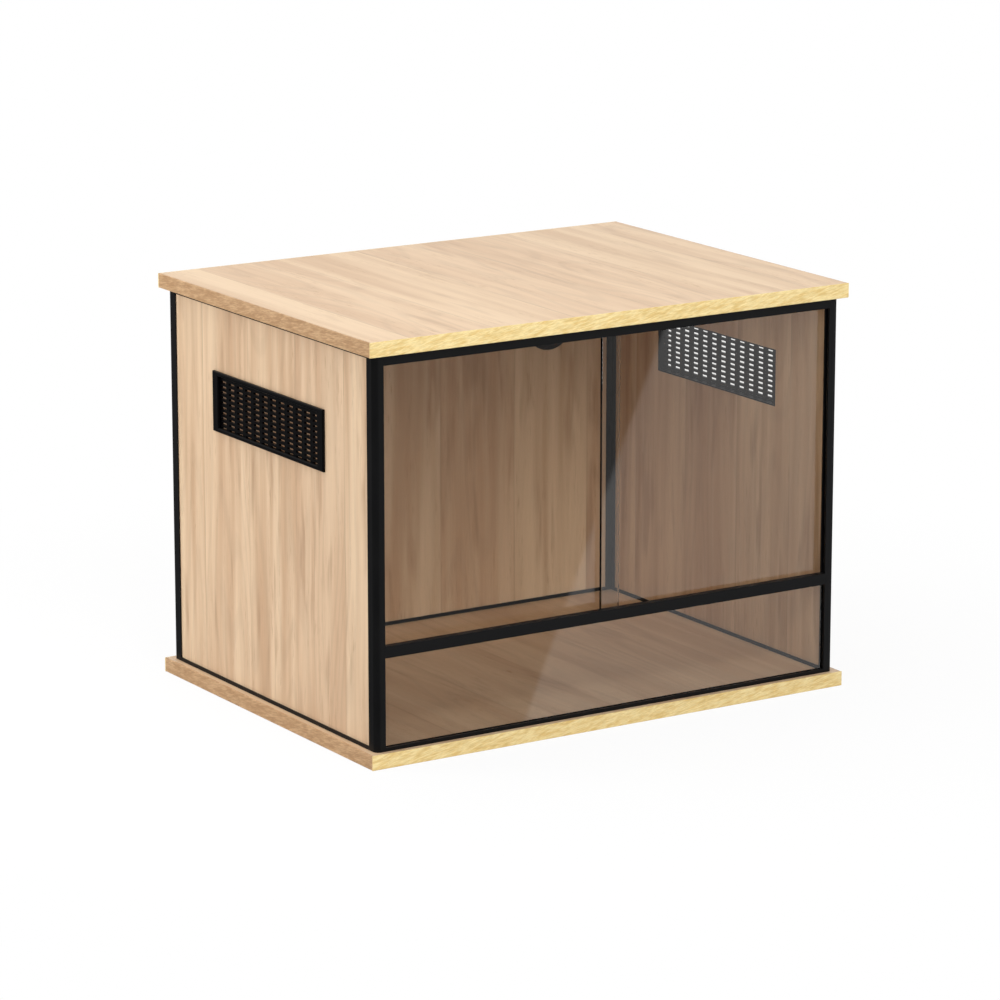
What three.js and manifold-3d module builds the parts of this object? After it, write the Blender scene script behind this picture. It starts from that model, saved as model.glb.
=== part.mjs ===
// Terrarium cabinet with two sliding glass doors.
//
// Two edge-banded boards hold a black channel frame between them. The frame carries
// wood-look side and back panels, a fixed lower glass and the tracks of the doors.
// Each side panel has a slotted air vent, and the back panel has a round cable port.
//
// Millimetres. X runs to the right as seen from the front, Y to the rear, Z up.
// The origin is on the underside of the base board, under the middle of the cabinet.

import * as THREE from 'three';
import { mergeGeometries, mergeVertices } from 'three/addons/utils/BufferGeometryUtils.js';
import Module from 'manifold-3d';

// ---------------------------------------------------------------- driving dimensions

// Boards
const WIDTH = 600;
const DEPTH = 450;
const HEIGHT = 450;
const BOARD_THICKNESS = 16;
const BAND_THICKNESS = 1.5;
const BAND_RADIUS = 0.75;
const SIDE_OVERHANG = 8;
const FRONT_OVERHANG = 7;

// Sheets and the play that they have in their channels
const PANEL_THICKNESS = 6;
const GLASS_THICKNESS = 4;
const PLAY = 0.25;

// Frame bars
const CHANNEL_WALL = 1.25;
const RAIL_HEIGHT = 4;
const RAIL_WEB = 1.5;
const CORNER_RADIUS = 6;
const FRONT_POST_FACE = 12;
const FRONT_POST_FLANGE = 5.5;
const REAR_POST_FLANGE = 7;
const POST_CHANNEL_DEPTH = 4.75;
const FRONT_LIP = 3;
const REAR_LIP = 1.5;
const GLASS_GROOVE_DEPTH = 5.5;
const TOP_RAIL_HEIGHT = 11;
const MIDDLE_RAIL_BOTTOM = 115.75;
const MIDDLE_RAIL_HEIGHT = 12.25;
const MIDDLE_RAIL_GROOVE = 6.25;

// Door tracks and doors
const TRACK_WEB = 1.5;
const TRACK_OUTER_LIP = 1.5;
const TRACK_MIDDLE_LIP = 2;
const LOWER_TRACK_DEPTH = 5.5;
const HOOK_REACH = 1.5;
const HOOK_THICKNESS = 1.5;
const HOOK_DROP = 3;
const HOOK_HEAD = 1;
const DOOR_TOP_GRIP = 3.25;
const DOOR_END_GAP = 0.5;
const DOORS_MEET_X = 6.5;
const DOOR_OVERLAP = 26;

// Air vents, placed from the middle of the depth and down from the top board
const VENT_Y = 1;
const VENT_FROM_TOP = 107;
const VENT_WIDTH = 235;
const VENT_HEIGHT = 66.5;
const BEZEL_SIDE = 12;
const BEZEL_EDGE = 4.75;
const BEZEL_THICKNESS = 3;
const BEZEL_CHAMFER = 0.75;
const GRILLE_INSET = 3.5;
const GRILLE_EDGE_INSET = 1.5;
const GRILLE_PLATE = 3;
const COLLAR_WALL = 1.5;
const SLOT_COLUMNS = 12;
const SLOT_ROWS = 11;
const SLOT_WIDTH = 12;
const SLOT_HEIGHT = 3.2;
const SLOT_PITCH_Y = 17.9;
const SLOT_PITCH_Z = 5.7;

// Cable port, placed from the right side face of the frame and down from the top board
const PORT_FROM_SIDE = 95;
const PORT_FROM_TOP = 90;
const PORT_BORE_RADIUS = 23.5;
const PORT_SLEEVE_WALL = 2.25;
const PORT_FLANGE_RADIUS = 31.5;
const PORT_FLANGE_THICKNESS = 2.5;
const PORT_EDGE_RADIUS = 1.25;
const PORT_SEAT_WIDTH = 3;
const PORT_SEAT_DEPTH = 1.5;
const PORT_SLEEVE_PROUD = 1;
const COVER_PLAY = 0.3;
const COVER_THICKNESS = 1.5;
const COVER_SKIRT_WALL = 1.5;
const COVER_SKIRT_DEPTH = 3;
const NOTCH_WIDTH = 14;
const NOTCH_CENTRE = 15;

// Fasteners: their size is that of the shank
const SCREW_PLAY = 0.35;
const FRAME_SCREW = { radius: 1.75, head: 3.75, land: 0.5, reach: 20, recess: 0.5 };
const RAIL_SCREW = { radius: 1.2, head: 2.2, land: 0.2, reach: 12, recess: 0.1 };
const DOWEL_LENGTH = 24;
const SCREW_BORE_WALL = 1.4;
const REAR_SCREW_INSET = 5;
const SIDE_SCREW_SPACING = 260;
const REAR_SCREW_SPACING = 340;
const TRACK_SCREW_SPACING = 360;

// Steps of round shapes
const CORNER_STEPS = 4;
const PORT_STEPS = 44;
const SCREW_STEPS = 12;

// ---------------------------------------------------------------- worked-out sizes

const BODY_X = WIDTH / 2 - SIDE_OVERHANG;
const BODY_Y = DEPTH / 2 - FRONT_OVERHANG;
const FLOOR_Z = BOARD_THICKNESS;
const CEILING_Z = HEIGHT - BOARD_THICKNESS;
const VENT_Z = CEILING_Z - VENT_FROM_TOP;
const PORT_X = BODY_X - PORT_FROM_SIDE;
const PORT_Z = CEILING_Z - PORT_FROM_TOP;

// Wall make-up, counted inward from the outer face of the frame
const PANEL_CHANNEL = PANEL_THICKNESS + 2 * PLAY;
const WALL = PANEL_CHANNEL + 2 * CHANNEL_WALL;
const PANEL_OUTER = CHANNEL_WALL + PLAY;
const PANEL_INNER = PANEL_OUTER + PANEL_THICKNESS;
const PANEL_BOTTOM = FLOOR_Z + RAIL_WEB + PLAY;
const PANEL_TOP = CEILING_Z - RAIL_WEB - PLAY;

// Front bars, counted back from the front face
const GLASS_CHANNEL = GLASS_THICKNESS + 2 * PLAY;
const FRONT_BAR_DEPTH = FRONT_LIP + GLASS_CHANNEL + REAR_LIP;
const FRONT_POST_SIDE = FRONT_BAR_DEPTH + FRONT_POST_FLANGE;
const REAR_POST_FACE = WALL + REAR_POST_FLANGE;
const GROOVE_END = FRONT_POST_FACE - GLASS_GROOVE_DEPTH;
const TENON = { from: FRONT_LIP + PLAY, to: FRONT_LIP + PLAY + GLASS_THICKNESS };
const MIDDLE_RAIL_TOP = MIDDLE_RAIL_BOTTOM + MIDDLE_RAIL_HEIGHT;
const MIDDLE_GROOVE_TOP = MIDDLE_RAIL_BOTTOM + MIDDLE_RAIL_GROOVE;
const TOP_RAIL_BOTTOM = CEILING_Z - TOP_RAIL_HEIGHT;

// Door tracks: edges of the two channels, counted back from the front face
const FRONT_TRACK = FRONT_BAR_DEPTH + TRACK_OUTER_LIP;
const MIDDLE_LIP = FRONT_TRACK + GLASS_CHANNEL;
const REAR_TRACK = MIDDLE_LIP + TRACK_MIDDLE_LIP;
const LAST_LIP = REAR_TRACK + GLASS_CHANNEL;
const TRACK_BACK = LAST_LIP + TRACK_OUTER_LIP;
const TRACK_BOTTOM = MIDDLE_RAIL_BOTTOM;
const TRACK_FLOOR = TRACK_BOTTOM + TRACK_WEB;
const TRACK_LIP_TOP = TRACK_FLOOR + LOWER_TRACK_DEPTH;
const HOOK_TOP = MIDDLE_RAIL_TOP - HOOK_DROP;
const TRACK_CEILING = CEILING_Z - TRACK_WEB;
const DOOR_BOTTOM = TRACK_FLOOR + PLAY;
const DOOR_TOP = TOP_RAIL_BOTTOM + DOOR_TOP_GRIP;
const DOOR_END_X = BODY_X - WALL - DOOR_END_GAP;

// ---------------------------------------------------------------- materials

function finish(color, roughness, metalness = 0) {
  return new THREE.MeshStandardMaterial({ color, roughness, metalness });
}

const LAMINATE = finish(0xdcc4a4, 0.55);
const FRONT_BAND = finish(0xf0d890, 0.5);
const SIDE_BAND = finish(0xcdaa7d, 0.5);
const FRAME_BLACK = finish(0x1c1c1e, 0.45, 0.2);
const PLASTIC_BLACK = finish(0x202022, 0.5);
const GLASS = finish(0xb9aca0, 0.05);
GLASS.transparent = true;
GLASS.opacity = 0.35;
const STEEL = finish(0x9a9a9c, 0.35, 0.9);

// ---------------------------------------------------------------- geometry helpers

const wasm = await Module();
wasm.setup();

// Six times the volume inside a closed triangle mesh, negative if its faces point in.
function signedVolume(position, index) {
  const [a, b, c] = [new THREE.Vector3(), new THREE.Vector3(), new THREE.Vector3()];
  let sum = 0;
  for (let i = 0; i < index.length; i += 3) {
    a.fromBufferAttribute(position, index[i]);
    b.fromBufferAttribute(position, index[i + 1]);
    c.fromBufferAttribute(position, index[i + 2]);
    sum += a.dot(b.cross(c));
  }
  return sum;
}

// A closed mesh with shared vertices, no empty triangles and its faces pointing out.
function closed(geometry) {
  const bare = geometry.clone();
  bare.deleteAttribute('normal');
  bare.deleteAttribute('uv');
  const merged = mergeVertices(bare);
  const source = merged.index.array;
  const index = [];
  for (let i = 0; i < source.length; i += 3) {
    const [a, b, c] = source.slice(i, i + 3);
    if (a !== b && b !== c && c !== a) {
      index.push(a, b, c);
    }
  }
  if (signedVolume(merged.attributes.position, index) < 0) {
    index.reverse();
  }
  merged.setIndex(index);
  return merged;
}

function toSolid(geometry) {
  const mesh = closed(geometry);
  return new wasm.Manifold(new wasm.Mesh({
    numProp: 3,
    vertProperties: mesh.attributes.position.array,
    triVerts: Uint32Array.from(mesh.index.array),
  }));
}

function toGeometry(solid) {
  const mesh = solid.getMesh();
  const geometry = new THREE.BufferGeometry();
  geometry.setAttribute('position', new THREE.BufferAttribute(mesh.vertProperties, 3));
  geometry.setIndex(new THREE.BufferAttribute(mesh.triVerts, 1));
  return geometry;
}

function cut(body, cutters) {
  return toGeometry(cutters.reduce((left, tool) => left.subtract(toSolid(tool)), toSolid(body)));
}

function join(...bodies) {
  return toGeometry(bodies.map(toSolid).reduce((sum, body) => sum.add(body)));
}

// Closed outline through right-angled corners; a third number rounds that corner.
function outline(corners) {
  const shape = new THREE.Shape();
  const count = corners.length;
  const towards = (from, to) => new THREE.Vector2(to[0] - from[0], to[1] - from[1]).normalize();
  corners.forEach((corner, i) => {
    const [x, y, radius = 0] = corner;
    const line = i === 0 ? 'moveTo' : 'lineTo';
    if (radius === 0) {
      shape[line](x, y);
      return;
    }
    const back = towards(corner, corners[(i + count - 1) % count]).multiplyScalar(radius);
    const ahead = towards(corner, corners[(i + 1) % count]).multiplyScalar(radius);
    const start = Math.atan2(-ahead.y, -ahead.x);
    const end = Math.atan2(-back.y, -back.x);
    const clockwise = back.x * ahead.y - back.y * ahead.x > 0;
    shape[line](x + back.x, y + back.y);
    shape.absarc(x + back.x + ahead.x, y + back.y + ahead.y, radius, start, end, clockwise);
  });
  shape.closePath();
  return shape;
}

function rectangle(x0, x1, y0, y1) {
  return outline([[x0, y0], [x1, y0], [x1, y1], [x0, y1]]);
}

function roundHole(shape, x, y, radius) {
  shape.holes.push(new THREE.Path().absarc(x, y, radius, 0, 2 * Math.PI));
}

function extrude(shape, length) {
  return new THREE.ExtrudeGeometry(shape, {
    depth: length,
    bevelEnabled: false,
    curveSegments: CORNER_STEPS,
  });
}

// An outline drawn in (y, z) and drawn out along X.
function alongX(shape, from, to) {
  const [x, y, z] = [new THREE.Vector3(0, 1, 0), new THREE.Vector3(0, 0, 1), new THREE.Vector3(1, 0, 0)];
  const turn = new THREE.Matrix4().makeBasis(x, y, z).setPosition(from, 0, 0);
  return extrude(shape, to - from).applyMatrix4(turn);
}

// An outline drawn in (z, x) and drawn out along Y.
function alongY(shape, from, to) {
  const [x, y, z] = [new THREE.Vector3(0, 0, 1), new THREE.Vector3(1, 0, 0), new THREE.Vector3(0, 1, 0)];
  const turn = new THREE.Matrix4().makeBasis(x, y, z).setPosition(0, from, 0);
  return extrude(shape, to - from).applyMatrix4(turn);
}

// An outline drawn in (x, y) and drawn out along Z.
function alongZ(shape, from, to) {
  return extrude(shape, to - from).translate(0, 0, from);
}

function block(low, high) {
  const size = high.map((value, i) => value - low[i]);
  const middle = high.map((value, i) => (value + low[i]) / 2);
  return new THREE.BoxGeometry(...size).translate(...middle);
}

// A turned piece from (radius, height) points, with its axis along +Z.
function turned(points, steps) {
  const profile = points.map(([radius, height]) => new THREE.Vector2(radius, height));
  return new THREE.LatheGeometry(profile, steps).rotateX(Math.PI / 2);
}

// A rectangular ring with mitred corners. Each point of the section is the inset from
// the outer edge at the ends, the inset at the top and bottom, and the place along X.
function mitredRing(width, height, section) {
  const corners = [[1, 1], [-1, 1], [-1, -1], [1, -1]];
  const position = [];
  const index = [];
  const count = section.length;
  corners.forEach(([y, z], k) => {
    const next = (k + 1) % corners.length;
    section.forEach(([inset, edgeInset, x], i) => {
      position.push(x, y * (width / 2 - inset), z * (height / 2 - edgeInset));
      const [a, b] = [k * count + i, k * count + (i + 1) % count];
      const [c, d] = [next * count + (i + 1) % count, next * count + i];
      index.push(a, b, c, a, c, d);
    });
  });
  const geometry = new THREE.BufferGeometry();
  geometry.setAttribute('position', new THREE.Float32BufferAttribute(position, 3));
  geometry.setIndex(index);
  return closed(geometry);
}

function piece(name, geometry, material) {
  const mesh = new THREE.Mesh(closed(geometry), material);
  mesh.name = name;
  return mesh;
}

function group(...members) {
  return new THREE.Group().add(...members);
}

const SIDES = [['left', -1], ['right', 1]];

// A point given by its insets from the outer side and end faces of the frame.
const sideX = (side, inset) => side * (BODY_X - inset);
const endY = (end, inset) => end * (BODY_Y - inset);

// ---------------------------------------------------------------- fasteners

// A countersunk screw from its head at z = 0 up along +Z.
function screw(type, length) {
  const slope = type.head - type.radius;
  return turned([
    [0, 0],
    [type.head, 0],
    [type.head, type.land],
    [type.radius, type.land + slope],
    [type.radius, length - type.radius],
    [0, length],
  ], SCREW_STEPS);
}

// The clearance hole of such a screw, countersunk from z = 0 up to a flat end.
function screwHole(type, length) {
  const bore = type.radius + SCREW_PLAY;
  const mouth = type.head + SCREW_PLAY;
  const land = type.recess + type.land;
  return turned([
    [0, -1],
    [mouth, -1],
    [mouth, land],
    [bore, land + mouth - bore],
    [bore, length],
    [0, length],
  ], SCREW_STEPS);
}

const FRAME_BORE = FRAME_SCREW.radius + SCREW_PLAY;
const FRONT_BORE_SIDE = SCREW_BORE_WALL + FRAME_BORE;
const FRONT_BORE_FRONT = FRONT_POST_SIDE - POST_CHANNEL_DEPTH - SCREW_BORE_WALL - FRAME_BORE;

// Screw bores of the four posts, as [x, y].
const POST_BORES = SIDES.flatMap(([, side]) => [
  [sideX(side, FRONT_BORE_SIDE), endY(-1, FRONT_BORE_FRONT)],
  [sideX(side, REAR_SCREW_INSET), endY(1, REAR_SCREW_INSET)],
]);

// Screws through the webs of the rails, at the bottom and at the top.
const SIDE_RAIL_SPOTS = SIDES.flatMap(([, side]) => [-1, 1].map((end) => [
  sideX(side, WALL / 2),
  end * SIDE_SCREW_SPACING / 2,
]));
const REAR_RAIL_SPOTS = [-1, 1].map((side) => [side * REAR_SCREW_SPACING / 2, endY(1, WALL / 2)]);
const TRACK_SPOTS = [-1, 1].map((side) => [
  side * TRACK_SCREW_SPACING / 2,
  endY(-1, REAR_TRACK + GLASS_CHANNEL / 2),
]);
const RAIL_SPOTS = [...SIDE_RAIL_SPOTS, ...REAR_RAIL_SPOTS];

// A shape that is modelled upward from z = 0, put head down or head up at a height.
const upFrom = (geometry, z) => geometry.translate(0, 0, z);
const downFrom = (geometry, z) => geometry.rotateX(Math.PI).translate(0, 0, z);

const atEach = (spots, make) => spots.map(([x, y]) => make().translate(x, y, 0));

const RAIL_SCREW_LENGTH = RAIL_WEB + RAIL_SCREW.reach;
const BOTTOM_WEB_TOP = FLOOR_Z + RAIL_WEB;
const TOP_WEB_BOTTOM = CEILING_Z - RAIL_WEB;
const HOLE_LENGTH = RAIL_SCREW_LENGTH + 2 * SCREW_PLAY;

const bottomRailHoles = (spots) =>
  atEach(spots, () => downFrom(screwHole(RAIL_SCREW, HOLE_LENGTH), BOTTOM_WEB_TOP));
const topRailHoles = (spots) =>
  atEach(spots, () => upFrom(screwHole(RAIL_SCREW, HOLE_LENGTH), TOP_WEB_BOTTOM));
const trackHoles = () =>
  atEach(TRACK_SPOTS, () => upFrom(screwHole(RAIL_SCREW, HOLE_LENGTH), TRACK_CEILING));

// A row of like fasteners, one on each spot, numbered from 1.
function fastenersAt(name, spots, geometry, z, headDown = false) {
  return spots.map(([x, y], i) => {
    const mesh = piece(`${name}_${i + 1}`, geometry, STEEL);
    mesh.position.set(x, y, z);
    mesh.rotation.x = headDown ? 0 : Math.PI;
    return mesh;
  });
}

function fasteners() {
  const frameScrew = screw(FRAME_SCREW, BOARD_THICKNESS + FRAME_SCREW.reach - FRAME_SCREW.recess);
  const dowel = alongZ(
    new THREE.Shape().absarc(0, 0, FRAME_SCREW.radius, 0, 2 * Math.PI),
    -DOWEL_LENGTH / 2,
    DOWEL_LENGTH / 2,
  );
  const railScrew = screw(RAIL_SCREW, RAIL_SCREW_LENGTH);
  const sunk = RAIL_SCREW.recess;
  return group(
    ...fastenersAt('base_screw', POST_BORES, frameScrew, FRAME_SCREW.recess, true),
    ...fastenersAt('top_dowel', POST_BORES, dowel, CEILING_Z),
    ...fastenersAt('bottom_rail_screw', RAIL_SPOTS, railScrew, BOTTOM_WEB_TOP - sunk),
    ...fastenersAt('top_rail_screw', RAIL_SPOTS, railScrew, TOP_WEB_BOTTOM + sunk, true),
    ...fastenersAt('door_track_screw', TRACK_SPOTS, railScrew, TRACK_CEILING + sunk, true),
  );
}

// ---------------------------------------------------------------- boards

// The bands round a board whose underside is at z: full width at the front and rear.
function bands(prefix, z) {
  const top = z + BOARD_THICKNESS;
  const [x, y] = [WIDTH / 2, DEPTH / 2];
  const bandOf = (side, outer) => [
    [z, side * outer, BAND_RADIUS],
    [top, side * outer, BAND_RADIUS],
    [top, side * (outer - BAND_THICKNESS)],
    [z, side * (outer - BAND_THICKNESS)],
  ];
  const flipped = (points) => points.map(([first, second, radius]) => [second, first, radius]);
  const sideEnd = y - BAND_THICKNESS;
  return group(
    piece(`${prefix}_band_front`, alongX(outline(flipped(bandOf(-1, y))), -x, x), FRONT_BAND),
    piece(`${prefix}_band_rear`, alongX(outline(flipped(bandOf(1, y))), -x, x), FRONT_BAND),
    piece(`${prefix}_band_left`, alongY(outline(bandOf(-1, x)), -sideEnd, sideEnd), SIDE_BAND),
    piece(`${prefix}_band_right`, alongY(outline(bandOf(1, x)), -sideEnd, sideEnd), SIDE_BAND),
  );
}

function boardCore(z) {
  const [x, y] = [WIDTH / 2 - BAND_THICKNESS, DEPTH / 2 - BAND_THICKNESS];
  return block([-x, -y, z], [x, y, z + BOARD_THICKNESS]);
}

function baseBoard() {
  const frameHoles = atEach(POST_BORES, () => screwHole(FRAME_SCREW, BOARD_THICKNESS + 1));
  const core = cut(boardCore(0), [...frameHoles, ...bottomRailHoles(RAIL_SPOTS)]);
  return group(piece('base_board', core, LAMINATE), bands('base', 0));
}

function topBoard() {
  const dowelHoles = atEach(POST_BORES, () => alongZ(
    new THREE.Shape().absarc(0, 0, FRAME_BORE, 0, 2 * Math.PI),
    CEILING_Z - 1,
    CEILING_Z + DOWEL_LENGTH / 2 + SCREW_PLAY,
  ));
  const holes = [...dowelHoles, ...topRailHoles(RAIL_SPOTS), ...trackHoles()];
  const core = cut(boardCore(CEILING_Z), holes);
  return group(piece('top_board', core, LAMINATE), bands('top', CEILING_Z));
}

// ---------------------------------------------------------------- frame

// Front post: a bar with a groove for glass and rail tongues, and behind it the two
// flanges that hold the side panel. A bore for the frame screw runs through it.
function frontPost(name, side) {
  const channelEnd = FRONT_POST_SIDE - POST_CHANNEL_DEPTH;
  const grooveBack = FRONT_LIP + GLASS_CHANNEL;
  const insets = [
    [0, 0, CORNER_RADIUS],
    [FRONT_POST_FACE, 0],
    [FRONT_POST_FACE, FRONT_LIP],
    [GROOVE_END, FRONT_LIP],
    [GROOVE_END, grooveBack],
    [FRONT_POST_FACE, grooveBack],
    [FRONT_POST_FACE, FRONT_BAR_DEPTH],
    [WALL, FRONT_BAR_DEPTH],
    [WALL, FRONT_POST_SIDE],
    [WALL - CHANNEL_WALL, FRONT_POST_SIDE],
    [WALL - CHANNEL_WALL, channelEnd],
    [CHANNEL_WALL, channelEnd],
    [CHANNEL_WALL, FRONT_POST_SIDE],
    [0, FRONT_POST_SIDE],
  ];
  const shape = outline(insets.map(([u, v, radius]) => [sideX(side, u), endY(-1, v), radius]));
  roundHole(shape, sideX(side, FRONT_BORE_SIDE), endY(-1, FRONT_BORE_FRONT), FRAME_BORE);
  return piece(name, alongZ(shape, FLOOR_Z, CEILING_Z), FRAME_BLACK);
}

// Rear post: an L whose two legs hold the side panel and the back panel.
function rearPost(name, side) {
  const channelEnd = REAR_POST_FACE - POST_CHANNEL_DEPTH;
  const leg = [
    [WALL, WALL],
    [WALL, REAR_POST_FACE],
    [WALL - CHANNEL_WALL, REAR_POST_FACE],
    [WALL - CHANNEL_WALL, channelEnd],
    [CHANNEL_WALL, channelEnd],
    [CHANNEL_WALL, REAR_POST_FACE],
    [0, REAR_POST_FACE],
  ];
  const otherLeg = leg.slice(1).reverse().map(([u, v]) => [v, u]);
  const insets = [...leg, [0, 0, CORNER_RADIUS], ...otherLeg];
  const shape = outline(insets.map(([u, v, radius]) => [sideX(side, u), endY(1, v), radius]));
  roundHole(shape, sideX(side, REAR_SCREW_INSET), endY(1, REAR_SCREW_INSET), FRAME_BORE);
  return piece(name, alongZ(shape, FLOOR_Z, CEILING_Z), FRAME_BLACK);
}

// Section of a panel rail as [inset, height], open away from the board that it lies on.
function panelRailSection(boardFace, away) {
  const web = boardFace + away * RAIL_WEB;
  const lip = boardFace + away * RAIL_HEIGHT;
  return [
    [0, boardFace],
    [WALL, boardFace],
    [WALL, lip],
    [WALL - CHANNEL_WALL, lip],
    [WALL - CHANNEL_WALL, web],
    [CHANNEL_WALL, web],
    [CHANNEL_WALL, lip],
    [0, lip],
  ];
}

function sideRail(side, boardFace, away) {
  const shape = outline(panelRailSection(boardFace, away).map(([u, z]) => [z, sideX(side, u)]));
  return alongY(shape, endY(-1, FRONT_POST_SIDE), endY(1, REAR_POST_FACE));
}

function rearRail(boardFace, away) {
  const shape = outline(panelRailSection(boardFace, away).map(([v, z]) => [endY(1, v), z]));
  return alongX(shape, sideX(-1, REAR_POST_FACE), sideX(1, REAR_POST_FACE));
}

// A front bar between the posts, with a tongue at each end that seats in their grooves.
function frontBar(section, tongueBottom, tongueTop) {
  const shape = outline(section.map(([v, z]) => [endY(-1, v), z]));
  const tongue = rectangle(endY(-1, TENON.from), endY(-1, TENON.to), tongueBottom, tongueTop);
  const [faceX, tongueX] = [sideX(1, FRONT_POST_FACE), sideX(1, GROOVE_END + PLAY)];
  return join(
    alongX(shape, -faceX, faceX),
    alongX(tongue, -tongueX, tongueX),
  );
}

// The bottom front rail is a low channel for the lower glass.
function bottomFrontRail() {
  const grooveBack = FRONT_LIP + GLASS_CHANNEL;
  const [web, lip] = [FLOOR_Z + RAIL_WEB, FLOOR_Z + RAIL_HEIGHT];
  const section = [
    [0, FLOOR_Z],
    [FRONT_BAR_DEPTH, FLOOR_Z],
    [FRONT_BAR_DEPTH, lip],
    [grooveBack, lip],
    [grooveBack, web],
    [FRONT_LIP, web],
    [FRONT_LIP, lip],
    [0, lip],
  ];
  return frontBar(section, FLOOR_Z, web);
}

function topFrontRail() {
  const section = [
    [0, TOP_RAIL_BOTTOM],
    [FRONT_BAR_DEPTH, TOP_RAIL_BOTTOM],
    [FRONT_BAR_DEPTH, CEILING_Z],
    [0, CEILING_Z],
  ];
  return frontBar(section, TOP_RAIL_BOTTOM, CEILING_Z);
}

// The middle rail holds the top of the lower glass in its underside, and the hook of
// the lower door track in its rear face.
function middleRail() {
  const grooveBack = FRONT_LIP + GLASS_CHANNEL;
  const hookGroove = FRONT_BAR_DEPTH - HOOK_REACH - PLAY;
  const section = [
    [0, MIDDLE_RAIL_BOTTOM],
    [FRONT_LIP, MIDDLE_RAIL_BOTTOM],
    [FRONT_LIP, MIDDLE_GROOVE_TOP],
    [grooveBack, MIDDLE_GROOVE_TOP],
    [grooveBack, MIDDLE_RAIL_BOTTOM],
    [FRONT_BAR_DEPTH, MIDDLE_RAIL_BOTTOM],
    [FRONT_BAR_DEPTH, HOOK_TOP - HOOK_THICKNESS - PLAY],
    [hookGroove, HOOK_TOP - HOOK_THICKNESS - PLAY],
    [hookGroove, HOOK_TOP + PLAY],
    [FRONT_BAR_DEPTH, HOOK_TOP + PLAY],
    [FRONT_BAR_DEPTH, MIDDLE_RAIL_TOP],
    [0, MIDDLE_RAIL_TOP],
  ];
  return frontBar(section, MIDDLE_GROOVE_TOP, MIDDLE_RAIL_TOP);
}

// Two-channel door track. The lower one hooks into the middle rail; the upper one is
// deeper, so that a door can be lifted into it and taken out.
function lowerDoorTrack() {
  const section = [
    [FRONT_BAR_DEPTH, TRACK_BOTTOM],
    [TRACK_BACK, TRACK_BOTTOM],
    [TRACK_BACK, TRACK_LIP_TOP],
    [LAST_LIP, TRACK_LIP_TOP],
    [LAST_LIP, TRACK_FLOOR],
    [REAR_TRACK, TRACK_FLOOR],
    [REAR_TRACK, TRACK_LIP_TOP],
    [MIDDLE_LIP, TRACK_LIP_TOP],
    [MIDDLE_LIP, TRACK_FLOOR],
    [FRONT_TRACK, TRACK_FLOOR],
    [FRONT_TRACK, HOOK_TOP + HOOK_HEAD],
    [FRONT_BAR_DEPTH, HOOK_TOP + HOOK_HEAD],
    [FRONT_BAR_DEPTH, HOOK_TOP],
    [FRONT_BAR_DEPTH - HOOK_REACH, HOOK_TOP],
    [FRONT_BAR_DEPTH - HOOK_REACH, HOOK_TOP - HOOK_THICKNESS],
    [FRONT_BAR_DEPTH, HOOK_TOP - HOOK_THICKNESS],
  ];
  const shape = outline(section.map(([v, z]) => [endY(-1, v), z]));
  const faceX = sideX(1, FRONT_POST_FACE);
  const trackX = sideX(1, WALL);
  const [backY, frontY] = [endY(-1, FRONT_BAR_DEPTH), endY(-1, FRONT_BAR_DEPTH - 2 * HOOK_REACH)];
  // The hook ends at the posts, and the channels run on to the walls.
  const hookEnds = [-1, 1].map((side) => block(
    [Math.min(side * faceX, side * WIDTH), frontY, TRACK_BOTTOM],
    [Math.max(side * faceX, side * WIDTH), backY, MIDDLE_RAIL_TOP],
  ));
  return cut(alongX(shape, -trackX, trackX), hookEnds);
}

function upperDoorTrack() {
  const section = [
    [FRONT_BAR_DEPTH, TOP_RAIL_BOTTOM],
    [FRONT_TRACK, TOP_RAIL_BOTTOM],
    [FRONT_TRACK, TRACK_CEILING],
    [MIDDLE_LIP, TRACK_CEILING],
    [MIDDLE_LIP, TOP_RAIL_BOTTOM],
    [REAR_TRACK, TOP_RAIL_BOTTOM],
    [REAR_TRACK, TRACK_CEILING],
    [LAST_LIP, TRACK_CEILING],
    [LAST_LIP, TOP_RAIL_BOTTOM],
    [TRACK_BACK, TOP_RAIL_BOTTOM],
    [TRACK_BACK, CEILING_Z],
    [FRONT_BAR_DEPTH, CEILING_Z],
  ];
  const shape = outline(section.map(([v, z]) => [endY(-1, v), z]));
  const trackX = sideX(1, WALL);
  return cut(alongX(shape, -trackX, trackX), trackHoles());
}

function frame() {
  const bottom = (name, rail, spots) => piece(name, cut(rail, bottomRailHoles(spots)), FRAME_BLACK);
  const top = (name, rail, spots) => piece(name, cut(rail, topRailHoles(spots)), FRAME_BLACK);
  const members = SIDES.flatMap(([word, side]) => {
    const spots = SIDE_RAIL_SPOTS.filter(([x]) => x * side > 0);
    return [
      frontPost(`front_post_${word}`, side),
      rearPost(`rear_post_${word}`, side),
      bottom(`bottom_rail_${word}`, sideRail(side, FLOOR_Z, 1), spots),
      top(`top_rail_${word}`, sideRail(side, CEILING_Z, -1), spots),
    ];
  });
  return group(
    ...members,
    bottom('bottom_rail_rear', rearRail(FLOOR_Z, 1), REAR_RAIL_SPOTS),
    top('top_rail_rear', rearRail(CEILING_Z, -1), REAR_RAIL_SPOTS),
    piece('bottom_rail_front', bottomFrontRail(), FRAME_BLACK),
    piece('top_rail_front', topFrontRail(), FRAME_BLACK),
    piece('middle_rail', middleRail(), FRAME_BLACK),
    piece('lower_door_track', lowerDoorTrack(), FRAME_BLACK),
    piece('upper_door_track', upperDoorTrack(), FRAME_BLACK),
  );
}

// ---------------------------------------------------------------- panels and glass

// The hole for the vent's collar in a side panel.
const GRILLE_WIDTH = VENT_WIDTH - 2 * GRILLE_INSET;
const GRILLE_HEIGHT = VENT_HEIGHT - 2 * GRILLE_EDGE_INSET;
const PORT_SLEEVE_RADIUS = PORT_BORE_RADIUS + PORT_SLEEVE_WALL;

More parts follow.
